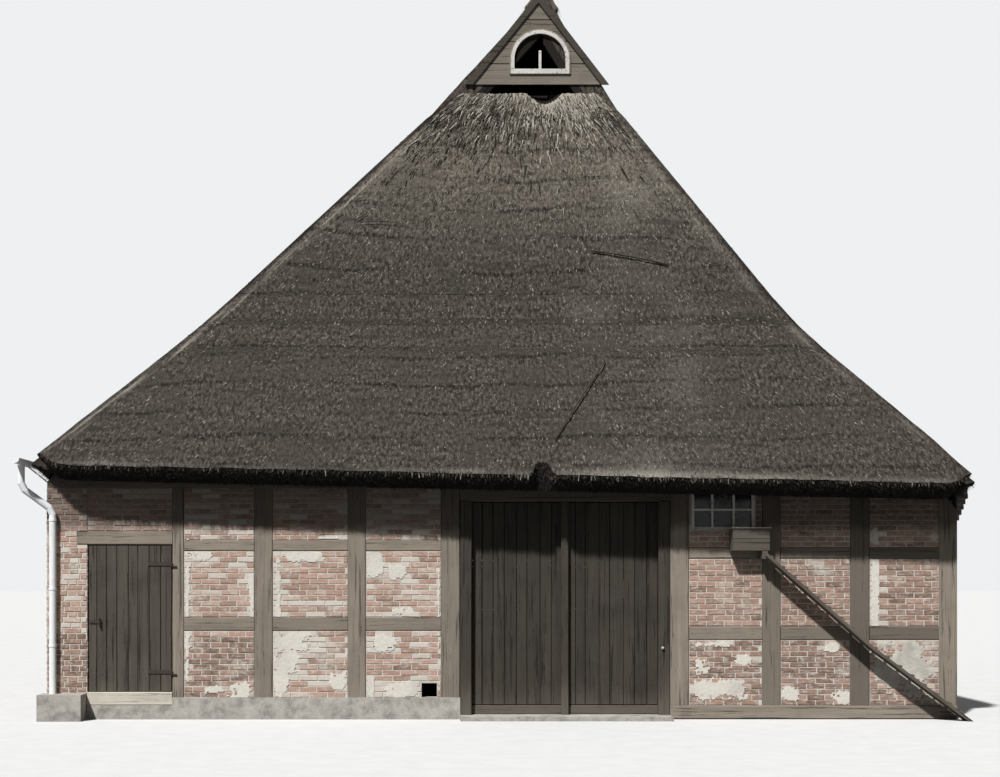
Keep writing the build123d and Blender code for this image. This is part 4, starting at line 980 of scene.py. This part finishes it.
def lime_cover(x, z):
    """More than zero where render still covers the front panels' bricks."""
    for left, right, low, high in (HEN_HOLE, POP_HOLE):
        if left - 0.012 < x < right + 0.012 and low - 0.012 < z < high + 0.012:
            return -1.0
    layers = ((5.5, 0.7), (19.0, 0.6), (52.0, 0.45))
    ragged = sum(size * waver(x * fine, z * fine * 1.2, fine) for fine, size in layers)
    cover = -1.0
    for centre_x, centre_z, half_x, half_z in LIME_RESTS:
        away = (abs(x - centre_x) / half_x) ** 3 + (abs(z - centre_z) / half_z) ** 3
        cover = max(cover, 0.72 - away)
    return cover + ragged


def brick(store, along, outward, face, left, right, low, high, dice):
    """One brick with worn edges."""
    proud = 0.008
    bedded = 0.004
    worn = 0.0035
    out = face + outward * (proud + dice.uniform(-0.004, 0.003))
    back = face - outward * bedded
    tilt = dice.uniform(-0.002, 0.002)
    corners = []
    for depth, inset in ((back, 0.0), (out, worn)):
        x0, x1, z0, z1 = left + inset, right - inset, low + inset, high - inset
        for u, z in ((x0, z0), (x1, z0), (x1, z1), (x0, z1)):
            point = Vector((0, 0, z + dice.uniform(-0.002, 0.002) + (tilt if u > (left + right) / 2 else -tilt)))
            point[along] = u + dice.uniform(-0.002, 0.002)
            point[1 - along] = depth
            corners.append(point)
    faces = [(4, 5, 6, 7), (0, 1, 5, 4), (1, 2, 6, 5), (2, 3, 7, 6), (3, 0, 4, 7)]
    if (outward > 0) == (along == 0):
        faces = [tuple(reversed(face_corners)) for face_corners in faces]
    tint = unit(dice.gauss(0.5, 0.24))
    in_front = along == 0 and outward < 0
    if in_front:
        splashed = high < 1.25
        tint += 1.2 * max(0.0, lime_cover((left + right) / 2, (low + high) / 2) + 0.45)
        if left < 0 and not (left < -4.5 and splashed):
            tint += 0.95 * dice.random()
        elif splashed:
            tint -= 0.5
        elif left > 2.9:
            tint -= 0.18
    store.add(corners, faces, corners, tint)


# What a user may change
class CottageSizes(PropertyGroup):
    """Sizes of the finish that a user may change."""

    straw_relief: FloatProperty(
        name="Straw relief", description="How deep the thatch is lumped", default=0.06, unit="LENGTH")
    straw_ends: IntProperty(
        name="Straw ends", description="Loose straw ends on each slope", default=38000, min=0)
    eaves_stalks: IntProperty(
        name="Eaves stalks", description="Stalks that stand out of each slope's eaves", default=9000, min=0)
    hip_columns: IntProperty(
        name="Hip columns", description="Columns of each hip's mesh", default=240, min=20)
    hip_rows: IntProperty(name="Hip rows", description="Rows of each hip's mesh", default=190, min=20)
    side_columns: IntProperty(
        name="Side columns", description="Columns of each long slope's mesh", default=230, min=20)
    side_rows: IntProperty(
        name="Side rows", description="Rows of each long slope's mesh", default=170, min=20)
    door_board: FloatProperty(
        name="Great door board", description="Width of the great door's boards", default=0.165, unit="LENGTH")
    side_door_board: FloatProperty(
        name="Side door board", description="Width of the side door's boards", default=0.152, unit="LENGTH")
    nail_head: FloatProperty(
        name="Nail head", description="Radius of the forged nails' heads", default=0.007, unit="LENGTH")


class CottageColours(PropertyGroup):
    """Colours of the finish that a user may change."""

    thatch_low: FloatVectorProperty(
        name="Thatch, lower", description="Reed in the weather", subtype="COLOR", default=(0.067, 0.057, 0.046))
    thatch_high: FloatVectorProperty(
        name="Thatch, upper", description="Reed near the ridge", subtype="COLOR", default=(0.275, 0.240, 0.193))
    oak: FloatVectorProperty(
        name="Oak frame", description="Weathered oak", subtype="COLOR", default=(0.280, 0.238, 0.193))
    great_door: FloatVectorProperty(
        name="Great door", description="Boards of the great door", subtype="COLOR", default=(0.060, 0.052, 0.043))
    side_door: FloatVectorProperty(
        name="Side door", description="Boards of the side door", subtype="COLOR", default=(0.090, 0.078, 0.064))
    plank: FloatVectorProperty(
        name="Side door's plank", description="Scrubbed threshold plank", subtype="COLOR",
        default=(0.620, 0.570, 0.480))
    gablet: FloatVectorProperty(
        name="Gablet boards", description="Boards over the hips", subtype="COLOR", default=(0.215, 0.187, 0.155))
    brick: FloatVectorProperty(
        name="Brick", description="Hand-made brick", subtype="COLOR", default=(0.375, 0.245, 0.190))
    lime: FloatVectorProperty(
        name="Lime", description="Mortar and limewash", subtype="COLOR", default=(0.640, 0.603, 0.535))
    stone: FloatVectorProperty(
        name="Stone", description="Plinth and step", subtype="COLOR", default=(0.420, 0.397, 0.357))
    paint: FloatVectorProperty(
        name="Paint", description="Windows and owl hole", subtype="COLOR", default=(0.620, 0.600, 0.550))
    zinc: FloatVectorProperty(
        name="Zinc", description="Gutter and downpipe", subtype="COLOR", default=(0.860, 0.868, 0.870))
    iron: FloatVectorProperty(
        name="Iron", description="Hinges and latch", subtype="COLOR", default=(0.034, 0.030, 0.028))


# The steps
finishes = {}


def sizes():
    return bpy.context.scene.cottage_sizes


def repaint(nodes, finish):
    """Gives CAD nodes a finish without touching their shape."""
    for node in nodes:
        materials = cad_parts[node].data.materials
        materials.clear()
        materials.append(finishes[finish])


class COTTAGE_OT_finishes(Operator):
    """Makes the procedural finishes of all pieces"""

    bl_idname = "cottage.finishes"
    bl_label = "Make finishes"

    def execute(self, context):
        chosen = context.scene.cottage_colours
        c = {name: tuple(getattr(chosen, name)) for name in chosen.__annotations__}
        gablet, great_door, lime, oak = c["gablet"], c["great_door"], c["lime"], c["oak"]
        finishes.update(
            thatch=thatch_finish("weathered_thatch", c["thatch_low"], c["thatch_high"]),
            # The oak gets the painted eave shadow at the top of the front wall.
            oak=wood_finish("weathered_oak", oak, smoked=True),
            # The inner timbers of the roof and hall, near black: painted shade of the dark inside of the house.
            inner_oak=wood_finish("smoked_oak", shade(oak, 0.07), 0.8),
            great_door=wood_finish("great_door_boards", great_door, 1.1, 0.4, 0.35),
            door_frame=wood_finish("door_frame_oak", shade(great_door, 1.12), 1.0, 0.3, 0.55),
            side_door=wood_finish("side_door_boards", c["side_door"], 1.0, 0.35, 0.45),
            gablet=wood_finish("gablet_boarding", gablet, 1.1),
            nest=wood_finish("nest_boards", shade(gablet, 0.6)),
            verge=wood_finish("verge_boarding", shade(gablet, 0.40)),
            lid=wood_finish("nest_lid", shade(oak, 1.7), 0.9, 0.2),
            pale_plank=wood_finish("pale_plank", c["plank"], 0.7, 0.15),
            brick=brick_finish("hand_made_brick", c["brick"], lime),
            mortar=mortar_finish("lime_mortar", lime),
            render=mortar_finish("lime_render", shade(lime, 1.15)),
            stone=stone_finish("rough_stone", c["stone"]),
            paint=paint_finish("flaking_paint", c["paint"], gablet),
            zinc=zinc_finish("weathered_zinc", c["zinc"]),
            iron=iron_finish("rusted_iron", c["iron"]),
            glass=glass_finish("old_window_glass"),
        )
        repaint(("gutter", "gutter_brackets", "downpipe", "pipe_clips"), "zinc")
        repaint(("great_door_left_hinges", "great_door_right_hinges", "pintles", "side_door_ironwork"), "iron")
        repaint(("owl_hole_rims", "window_frames"), "paint")
        repaint(("front_plinth", "great_door_step", "drain_block"), "stone")
        repaint(BRICK_PANELS + ("left_wall", "right_wall", "corner_pier"), "mortar")
        repaint(("window_glass",), "glass")
        return {"FINISHED"}


class COTTAGE_OT_thatch(Operator):
    """Lays the thatch over the long slopes, the hips and the ridge"""

    bl_idname = "cottage.thatch"
    bl_label = "Lay thatch"
    cap_reach = 0.385
    cap_depth = 0.078
    spar_sides = 6

    def execute(self, context):
        finish = finishes["thatch"]
        for name, stands_for, place, first in (("thatch_left", ["thatch_left"], side_place, True),
                                               ("thatch_right", ["thatch_right"], side_place, False),
                                               ("front_hip", ["thatch_hips"], hip_place, True),
                                               ("rear_hip", [], hip_place, False)):
            thatch_slope(name, stands_for, place(first), place(first, True), finish)
        self.ridge(finish)
        self.spars()
        return {"FINISHED"}

    def spars(self):
        """Hazel spars and loose sticks left lying on the front hip; the second is a dark rod laid along a crack,
        as painted shade of the crack.
        """
        store = Store()
        dice = random.Random("spars")
        front = hip_place(True)
        stations = self.spar_sides + 1
        for (x0, z0), (x1, z1), radius in LYING_SPARS:
            path = []
            for share in np.linspace(0, 1, stations):
                z = z0 + (z1 - z0) * share
                x = x0 + (x1 - x0) * share
                f = (x + eased(LEFT_SLOPE, z)) / (eased(LEFT_SLOPE, z) + eased(RIGHT_SLOPE, z))
                foot = eave_height(f)
                point, outward, _ = front(f, (z - foot) / (GABLET_FOOT - foot))
                bow = Vector((0, 0, 0.02 * math.sin(math.pi * share)))
                path.append((point + outward * 0.012 + bow, outward))
            run = (path[-1][0] - path[0][0]).normalized()
            corners = []
            for point, outward in path:
                side = run.cross(outward).normalized()
                thick = radius * dice.uniform(0.8, 1.1)
                corners += [point + (side * math.cos(a) + outward * math.sin(a)) * thick
                            for a in round_about(self.spar_sides)]
            last = len(corners)
            ends = [tuple(range(self.spar_sides - 1, -1, -1)), tuple(range(last - self.spar_sides, last))]
            grain = [Vector((c.z, c.x, c.y)) for c in corners]
            # The two thicker rods get a darker tint; the second stands for the shade in a crack.
            store.add(corners, tube_faces(stations, self.spar_sides) + ends, grain, 0.9 if radius > 0.01 else 0.0)
        store.piece("thatching_spars", finishes["door_frame"], "boards", mend=True)

    def ridge(self, finish):
        """The cap of the ridge with its lumps, its cut edges and its straw ends."""
        low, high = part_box("ridge_cap")
        store = Store()
        straw = Store()
        dice = random.Random("ridge")
        columns = 150
        runs = [Vector((sign * (line[1][0] - line[0][0]), line[1][1] - line[0][1])).normalized()
                for sign, line in ((-1, LEFT_SLOPE), (1, RIGHT_SLOPE))]
        profile = []
        for share in np.linspace(-1, 1, 25):
            run = runs[0] if share < 0 else runs[1]
            square = Vector((-run.y, run.x))
            square = square if square.y > 0 else -square
            point = Vector((0, RIDGE)) + run * abs(share) * self.cap_reach + square * self.cap_depth
            point.y -= 0.05 * bell(share, 0.16)
            profile.append((point, square, share))
        corners = []
        grain = []
        for column in range(columns + 1):
            y = low.y + (high.y - low.y) * column / columns
            for point, square, share in profile:
                lump = 0.018 * waver(y * 2.5, share * 3, 2.0) + 0.012 * waver(y * 11, share * 7, 4.0)
                placed = point + square * (lump - 0.02)
                corners.append(Vector((placed.x, y, placed.y)))
                grain.append(Vector((y + 200, abs(share) * self.cap_reach, 0)))
        width = len(profile)
        store.add(corners, grid_faces(columns, width), grain, 0.45)
        under = [Vector((square.x, 0, square.y)) * 0.07 for _, square, _ in profile]
        for side in (0, width - 1):
            line = corners[side::width]
            edge_band(store, line, grain[side::width], [p - under[side] for p in line], 2, dice, 0.008, 0.4)
        for end in (0, columns):
            row = slice(end * width, (end + 1) * width)
            lower = [p - below for p, below in zip(corners[row], under)]
            edge_band(store, corners[row], grain[row], lower, 2, dice, 0.006, 0.5)
        for _ in range(9000):
            run = dice.choice(runs)
            reach = dice.uniform(0.05, self.cap_reach)
            y = dice.uniform(low.y + 0.02, high.y - 0.02)
            down = Vector((run.x, dice.gauss(0, 0.12), run.y)).normalized()
            square = Vector((-run.y, 0, run.x))
            square = square if square.z > 0 else -square
            start = Vector((run.x * reach, y, RIDGE + run.y * reach)) + square * (self.cap_depth - 0.015)
            turned = (down + square * dice.uniform(-0.05, 0.1)).normalized()
            length = dice.uniform(0.06, 0.14)
            lie = Vector((y, reach, 0))
            stalk(straw, start, turned, Vector((0, 1, 0)), length, 0.01, lie, dice.uniform(0.3, 0.8))
        store.piece("ridge_cap_face", finish, "thatch", stands_for=["ridge_cap"], smooth=True)
        straw.piece("ridge_cap_straw", finish, "thatch")


class COTTAGE_OT_timbers(Operator):
    """Hews the posts, rails, plates and roof timbers"""

    bl_idname = "cottage.timbers"
    bl_label = "Hew timbers"

    def execute(self, context):
        for node in ("wall_posts", "wall_rails", "sills", "wall_plates", "door_lintels"):
            dress_timbers(node, finishes["oak"], "oak", 0.3, 0.009, 0.012)
        dress_timbers("great_door_frame", finishes["door_frame"], "oak", 0.3, 0.006, 0.008)
        for node in ("hall_posts", "arcade_plates", "cross_beams", "purlins", "left_rafters", "right_rafters",
                     "hip_rafters"):
            dress_timbers(node, finishes["inner_oak"], "oak", 1.2, 0.008, 0.012)
        dice = random.Random("thresholds")
        for low, high in boxes_of("door_thresholds"):
            store = Store()
            hewn(store, low, high, dice, 0.25, 0.006, 0.008, 0.2)
            if low.x < -4:
                store.piece("side_door_threshold", finishes["pale_plank"], "boards",
                            stands_for=["door_thresholds"], mend=True)
            else:
                store.piece("great_door_threshold", finishes["door_frame"], "boards", mend=True)
        self.knob()
        return {"FINISHED"}

    def knob(self):
        """White glazed knob on the right jamb, turned about its screw."""
        store = Store()
        middle = Vector((1.39, -0.012, 1.02))
        profile = ((0.0, 0.006), (0.004, 0.012), (0.012, 0.013), (0.018, 0.019), (0.026, 0.021), (0.034, 0.018),
                   (0.039, 0.009), (0.040, 0.001))
        sides = 20
        corners = [middle + Vector((radius * math.cos(a), -out, radius * math.sin(a)))
                   for out, radius in profile for a in round_about(sides)]
        store.add(corners, tube_faces(len(profile), sides), corners, 0.5)
        store.piece("jamb_knob", finishes["paint"], "painted_trim", smooth=True, mend=True)


class COTTAGE_OT_bricks(Operator):
    """Lays single bricks over every panel and wall"""

    bl_idname = "cottage.bricks"
    bl_label = "Lay bricks"
    cornice_foot = 2.84
    cornice_steps = 5

    def execute(self, context):
        for node in BRICK_PANELS:
            rear = node == "rear_brick"
            holes = self.windows(0, rear) + ([] if rear else [HEN_HOLE, POP_HOLE])
            store = Store()
            dice = random.Random(node)
            for low, high in boxes_of(node):
                face = high.y if rear else low.y
                lay_bricks(store, 0, 1 if rear else -1, face, (low.x, high.x), (low.z, high.z), dice, holes)
            store.piece(f"{node}_bricks", finishes["brick"], "brick")
        self.long_wall("left_wall", -1)
        self.long_wall("right_wall", 1)
        self.pier()
        self.lime_rests()
        return {"FINISHED"}

    def pier(self):
        """The left corner's pier, notched for the side door's lintel."""
        low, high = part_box("corner_pier")
        store = Store()
        dice = random.Random("pier")
        lintel_foot, lintel_top = 2.49, 2.69
        notch = [(high.x - 0.14, high.x, lintel_foot, lintel_top)]
        lay_bricks(store, 0, -1, low.y, (low.x, high.x), (low.z, high.z), dice, notch, True)
        lay_bricks(store, 1, -1, low.x, (low.y, high.y), (low.z, high.z), dice)
        lay_bricks(store, 1, 1, high.x, (low.y, high.y), (0.2, lintel_foot), dice)
        store.piece("corner_pier_bricks", finishes["brick"], "brick")

    def lime_rests(self):
        """Thin rests of lime render that still cling to the front panels."""
        store = Store()
        cell = 0.016
        margin = 0.003
        for node in BRICK_PANELS[:2]:
            for low, high in boxes_of(node):
                columns = int((high.x - low.x - 2 * margin) / cell)
                rows = int((high.z - low.z - 2 * margin) / cell)
                places = {(column, row): (low.x + margin + column * cell, low.z + margin + row * cell)
                          for row in range(rows + 1) for column in range(columns + 1)}
                cover = {key: lime_cover(*place) for key, place in places.items()}
                number = {}
                points = []
                faces = []
                for row in range(rows):
                    for column in range(columns):
                        ring = ((column, row), (column + 1, row), (column + 1, row + 1), (column, row + 1))
                        if min(cover[key] for key in ring) <= 0:
                            continue
                        for key in ring:
                            if key not in number:
                                number[key] = len(points)
                                x, z = places[key]
                                rise = 0.0105 * min(1.0, cover[key] / 0.12)
                                swell = 0.002 * waver(x * 9, z * 9, 3.0)
                                points.append(Vector((x, low.y - 0.002 - rise + swell, z)))
                        faces.append(tuple(number[key] for key in ring))
                splashed = low.x > 3.2 and high.z < 1.3
                store.add(points, faces, points, 0.7 if splashed else 0.05)
        store.piece("lime_render_rests", finishes["render"], "brick", smooth=True)

    def windows(self, along, far):
        """Windows in the near or the far one of the two walls that run along an axis, as holes."""
        across = 1 - along
        middle = (0.0, LENGTH / 2)[across]
        return [(low[along], high[along], low.z, high.z) for low, high in boxes_of("window_frames")
                if high[across] - low[across] < 0.2 and (low[across] > middle) == far]

    def long_wall(self, node, side):
        """One side wall round its windows, the right one with a stepped cornice."""
        low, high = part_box(node)
        store = Store()
        dice = random.Random(node)
        holes = self.windows(1, side > 0)
        left_wall_top = 3.48
        right_face = 5.6
        wall_top, start, face = (left_wall_top, 0.24, low.x) if side < 0 else (self.cornice_foot, 0.18, right_face)
        lay_bricks(store, 1, side, face, (start, LENGTH), (0.0, wall_top), dice, holes, True)
        if side > 0:
            for step in range(self.cornice_steps):
                bottom = self.cornice_foot + COURSE * step
                levels = (bottom, bottom + COURSE)
                out = face + CORNICE_STEP * (step + 1)
                lay_bricks(store, 1, 1, out - 0.002, (0.0, LENGTH), levels, dice, (), step % 2 == 0)
                lay_bricks(store, 0, -1, 0.0, (face, out), levels, dice)
            bottom = self.cornice_foot + COURSE * self.cornice_steps
            out = face + CORNICE_STEP * self.cornice_steps
            lay_bricks(store, 1, 1, out - 0.002, (0.0, LENGTH), (bottom, high.z), dice, (), True)
        store.piece(f"{node}_bricks", finishes["brick"], "brick")


class COTTAGE_OT_doors(Operator):
    """Boards the great door and the side door"""

    bl_idname = "cottage.doors"
    bl_label = "Board doors"
    side_door_ledges = (0.674, 2.217)

    def execute(self, context):
        s = sizes()
        for side, name in ((-1, "great_door_left"), (1, "great_door_right")):
            low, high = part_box(name)
            dice = random.Random(name)
            levels = sorted((a.z + b.z) / 2 for a, b in boxes_of(f"{name}_hinges"))
            ends = (low.x + 0.04, high.x - 0.015) if side > 0 else (low.x + 0.015, high.x - 0.04)
            boards, middles = self.boarded(low, high, 0.035, s.door_board, 0.006, ends, levels, 0.08, dice)
            for below, above in zip(levels, levels[1:]):
                self.brace(boards, side, (low, high), low.y + 0.035, below + 0.08, above - 0.08, dice)
            body = f"{name}_body"
            boards.piece(f"{name}_boards", finishes["great_door"], "boards", body, [name], mend=True)
            self.nails(f"{name}_nails", middles, low.y, levels, s.nail_head, body, dice)
        low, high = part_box("side_door")
        dice = random.Random("side_door")
        levels = self.side_door_ledges
        ends = (low.x + 0.04, high.x - 0.04)
        boards, middles = self.boarded(low, high, 0.032, s.side_door_board, 0.005, ends, levels, 0.06, dice)
        body = "side_door_body"
        boards.piece("side_door_boards", finishes["side_door"], "boards", body, ["side_door"], mend=True)
        self.nails("side_door_nails", middles, low.y, levels, s.nail_head, body, dice)
        return {"FINISHED"}

    def boarded(self, low, high, thick, board, gap, ends, levels, half, dice):
        """Upright boards on ledges that reach half their height over and under each level."""
        store = Store()
        back = low.y + thick
        spans = uneven_places(low.x, high.x, board, dice)
        row_of_boards(store, 0, spans, low, (high.x, back, high.z), dice, gap, 0.003, 0.004, 0.004)
        for level in levels:
            hewn(store, (ends[0], back, level - half), (ends[1], high.y, level + half), dice, 0.4, 0.003, 0.006)
        return store, [(x0 + x1) / 2 for x0, x1 in zip(spans, spans[1:])]

    def brace(self, store, side, box, back, bottom, top, dice):
        """A slanting board between two ledges, its foot by the hinges."""
        low, high = box
        foot = (high.x if side > 0 else low.x) - side * 0.045
        head = foot - side * 1.04
        wide = side * 0.16
        shape = [(foot, bottom), (foot - wide, bottom), (head, top), (head + wide, top)]
        corners = [Vector((x, y, z)) for y in (back, high.y) for x, z in shape]
        faces = [(0, 1, 2, 3), (7, 6, 5, 4), (0, 4, 5, 1), (1, 5, 6, 2), (2, 6, 7, 3), (3, 7, 4, 0)]
        copied(store, corners, faces, dice)

    def nails(self, name, middles, face, levels, radius, body, dice):
        """Two forged nails to each board at each ledge."""
        store = Store()
        sides = 6
        for middle in middles:
            for level in levels:
                for rise in (-0.035, 0.035):
                    x = middle + dice.uniform(-0.02, 0.02)
                    z = level + rise + dice.uniform(-0.008, 0.008)
                    corners = [Vector((x + radius * math.cos(a), face + 0.003, z + radius * math.sin(a)))
                               for a in round_about(sides)]
                    corners.append(Vector((x, face - 0.004, z)))
                    store.add(corners, [(i, (i + 1) % sides, sides) for i in range(sides)], corners, 0.5)
        store.piece(name, finishes["iron"], "iron", body)


class COTTAGE_OT_boarding(Operator):
    """Boards the gablets, the nest box and the hen ramp"""

    bl_idname = "cottage.boarding"
    bl_label = "Board gablets and nest box"
    joint_levels = (10.76, 11.14, 11.51)

    def execute(self, context):
        store = Store()
        dice = random.Random("gablet")
        for corners, _ in solids_of("gablet_boards"):
            low, high = extent(corners)
            apex = max(corners, key=lambda c: c.z)
            joints = [low.z, *self.joint_levels, high.z]
            for bottom, top in zip(joints, joints[1:]):
                self.gablet_board(store, low, high, apex, bottom + 0.009, top - 0.009, dice)
        store.piece("gablet_boarding", finishes["gablet"], "boards", stands_for=["gablet_boards"], mend=True)
        self.as_it_is("verge_boards", "verge_board_planks", "verge", 0.9, dice)
        self.nest(dice)
        self.as_it_is("hen_ramp", "hen_ramp_planks", "nest", 0.3, dice)
        return {"FINISHED"}

    def as_it_is(self, node, name, finish, tint, dice):
        """A CAD node's own shape with the grain of wood."""
        store = Store()
        for corners, faces in solids_of(node):
            copied(store, corners, faces, dice, tint)
        store.piece(name, finishes[finish], "boards", stands_for=[node])

    def gablet_board(self, store, low, high, apex, bottom, top, dice):
        """One level board, cut to the gable's slant and round the owl hole."""
        offset = Vector((dice.uniform(0, 90), dice.uniform(0, 90), 0))
        tint = dice.random()
        front = low.y + dice.uniform(0, 0.003)
        steps = 14
        left_part = []
        right_part = []
        for i in range(steps + 1):
            z = bottom + (top - bottom) * i / steps
            share = (z - low.z) / (apex.z - low.z)
            left = low.x + (apex.x - low.x) * share
            right = high.x + (apex.x - high.x) * share
            if OWL_SILL <= z < OWL_SPRING + OWL_RADIUS:
                rise = max(0.0, z - OWL_SPRING)
                half = math.sqrt(OWL_RADIUS ** 2 - rise ** 2) if rise else OWL_RADIUS
                left_part.append((left, max(left, OWL_MIDDLE - half), z))
                right_part.append((min(right, OWL_MIDDLE + half), right, z))
            else:
                middle = max(left, min(right, OWL_MIDDLE))
                left_part.append((left, middle, z))
                right_part.append((middle, right, z))
        for part in (left_part, right_part):
            corners = [Vector(c) for a, b, z in part
                       for c in ((a, front, z), (b, front, z), (b, high.y, z), (a, high.y, z))]
            ends = [(0, 3, 2, 1), tuple(4 * steps + i for i in range(4))]
            grain = [Vector((c.x, c.z, c.y)) + offset for c in corners]
            store.add(corners, ends + tube_faces(steps + 1, 4), grain, tint)

    def nest(self, dice):
        """The nest box with its open back round the pop hole, and its lid."""
        low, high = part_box("nest_box")
        store = Store()
        over = 0.014
        board = 0.024
        x0, x1 = low.x + over, high.x - over
        y0, y1 = low.y + over, high.y
        top = high.z - board
        inner = x0 + 0.025
        hole_left, hole_right, hole_low, hole_high = POP_HOLE
        row_of_boards(store, 2, [low.z, low.z + 0.17, top], (x0, y0, low.z), (x1, y0 + board, top), dice)
        hewn(store, (x0, y0 + 0.025, low.z), (x0 + board, y1, top), dice, 0.3, 0.002, 0.002)
        hewn(store, (inner, y0 + 0.025, low.z), (x1, y1 - 0.025, low.z + board), dice, 0.3, 0.002, 0.002)
        round_the_hole = ((inner, low.z, x1, hole_low), (inner, hole_high, x1, top),
                          (inner, hole_low, hole_left, hole_high), (hole_right, hole_low, x1, hole_high))
        for left, bottom, right, head in round_the_hole:
            hewn(store, (left, y1 - board, bottom), (right, y1, head), dice, 0.3, 0.001, 0.001)
        store.piece("nest_box_boards", finishes["nest"], "boards", stands_for=["nest_box"], mend=True)
        lid = Store()
        joints = [low.y, (low.y + y1) / 2, y1]
        row_of_boards(lid, 1, joints, (low.x, low.y, top + 0.001), (high.x, y1, high.z), dice)
        lid.piece("nest_box_lid", finishes["lid"], "boards", mend=True)


class COTTAGE_OT_stage(Operator):
    """Sets the floor, the lights and the camera"""

    bl_idname = "cottage.stage"
    bl_label = "Set stage"

    def execute(self, context):
        scene = context.scene
        self.floor(scene)
        self.world(scene)
        sun = bpy.data.lights.new("soft_sun", "SUN")
        sun.energy = 4.8
        sun.angle = math.radians(2.5)
        lamp = bpy.data.objects.new("soft_sun", sun)
        lamp.rotation_euler = Vector((0.4, 0.75, -1.0)).to_track_quat("-Z", "Y").to_euler()
        scene.collection.objects.link(lamp)
        camera = bpy.data.cameras.new("photo_view")
        camera.lens = 50.4
        camera.sensor_width = 36.0
        camera.shift_x = 0.07
        camera.shift_y = 0.1865
        camera.clip_end = 500.0
        eye = bpy.data.objects.new("photo_view", camera)
        eye.location = (-1.93, -20.0, 2.06)
        eye.rotation_euler = (math.radians(90), 0.0, 0.0)
        scene.collection.objects.link(eye)
        scene.camera = eye
        scene.view_settings.view_transform = "Standard"
        return {"FINISHED"}

    def floor(self, scene):
        """A pale floor that throws only a little light back up."""
        mesh = bpy.data.meshes.new("floor")
        size = 160.0
        corners = [(-size, -size, -0.002), (size, -size, -0.002), (size, size, -0.002), (-size, size, -0.002)]
        mesh.from_pydata(corners, [], [(0, 1, 2, 3)])
        floor = bpy.data.objects.new("floor", mesh)
        scene.collection.objects.link(floor)
        f = Finish("pale_floor", 0.9)
        rays = f.node("ShaderNodeLightPath")
        plain = f.sum(rays.outputs["Is Camera Ray"], rays.outputs["Is Glossy Ray"], "MAXIMUM")
        speckle = f.between(f.clouds(f.place(), 3.0, 5.0, 0.6), 0.3, 0.7)
        pale = f.mixed(speckle, (0.66, 0.66, 0.65), (0.70, 0.70, 0.69))
        mesh.materials.append(f.done(f.mixed(plain, (0.14, 0.14, 0.135), pale)))

    def world(self, scene):
        """A plain pale sky behind the house, which lights it only faintly."""
        world = bpy.data.worlds.new("plain_light")
        scene.world = world
        world.use_nodes = True
        tree = world.node_tree
        link = tree.links.new
        soft = tree.nodes["Background"]
        soft.inputs["Color"].default_value = (0.93, 0.95, 1.0, 1.0)
        soft.inputs["Strength"].default_value = 0.16
        pale = tree.nodes.new("ShaderNodeBackground")
        pale.inputs["Color"].default_value = (0.86, 0.87, 0.88, 1.0)
        pale.inputs["Strength"].default_value = 1.0
        ray = tree.nodes.new("ShaderNodeLightPath")
        seen = tree.nodes.new("ShaderNodeMath")
        seen.operation = "MAXIMUM"
        link(ray.outputs["Is Camera Ray"], seen.inputs[0])
        link(ray.outputs["Is Glossy Ray"], seen.inputs[1])
        mix = tree.nodes.new("ShaderNodeMixShader")
        for number, source in enumerate((seen, soft, pale)):
            link(source.outputs[0], mix.inputs[number])
        link(mix.outputs[0], tree.nodes["World Output"].inputs["Surface"])


class COTTAGE_PT_panel(Panel):
    """Lists the sizes, the colours and the steps of the cottage"""

    bl_idname = "COTTAGE_PT_panel"
    bl_label = "Cottage"
    bl_space_type = "VIEW_3D"
    bl_region_type = "UI"
    bl_category = "Cottage"

    def draw(self, context):
        column = self.layout.column()
        for group in (context.scene.cottage_sizes, context.scene.cottage_colours):
            for name in group.__annotations__:
                column.prop(group, name)
        for step in steps:
            column.operator(step.bl_idname)


steps = (
    COTTAGE_OT_finishes,
    COTTAGE_OT_thatch,
    COTTAGE_OT_timbers,
    COTTAGE_OT_bricks,
    COTTAGE_OT_doors,
    COTTAGE_OT_boarding,
    COTTAGE_OT_stage,
)


def register():
    for kind in (CottageSizes, CottageColours, *steps, COTTAGE_PT_panel):
        bpy.utils.register_class(kind)
    bpy.types.Scene.cottage_sizes = PointerProperty(type=CottageSizes)
    bpy.types.Scene.cottage_colours = PointerProperty(type=CottageColours)


def unregister():
    del bpy.types.Scene.cottage_colours
    del bpy.types.Scene.cottage_sizes
    for kind in reversed((CottageSizes, CottageColours, *steps, COTTAGE_PT_panel)):
        bpy.utils.unregister_class(kind)


def main():
    register()
    bpy.ops.cottage.finishes()
    bpy.ops.cottage.thatch()
    bpy.ops.cottage.timbers()
    bpy.ops.cottage.bricks()
    bpy.ops.cottage.doors()
    bpy.ops.cottage.boarding()
    bpy.ops.cottage.stage()


if __name__ == "__main__":
    main()
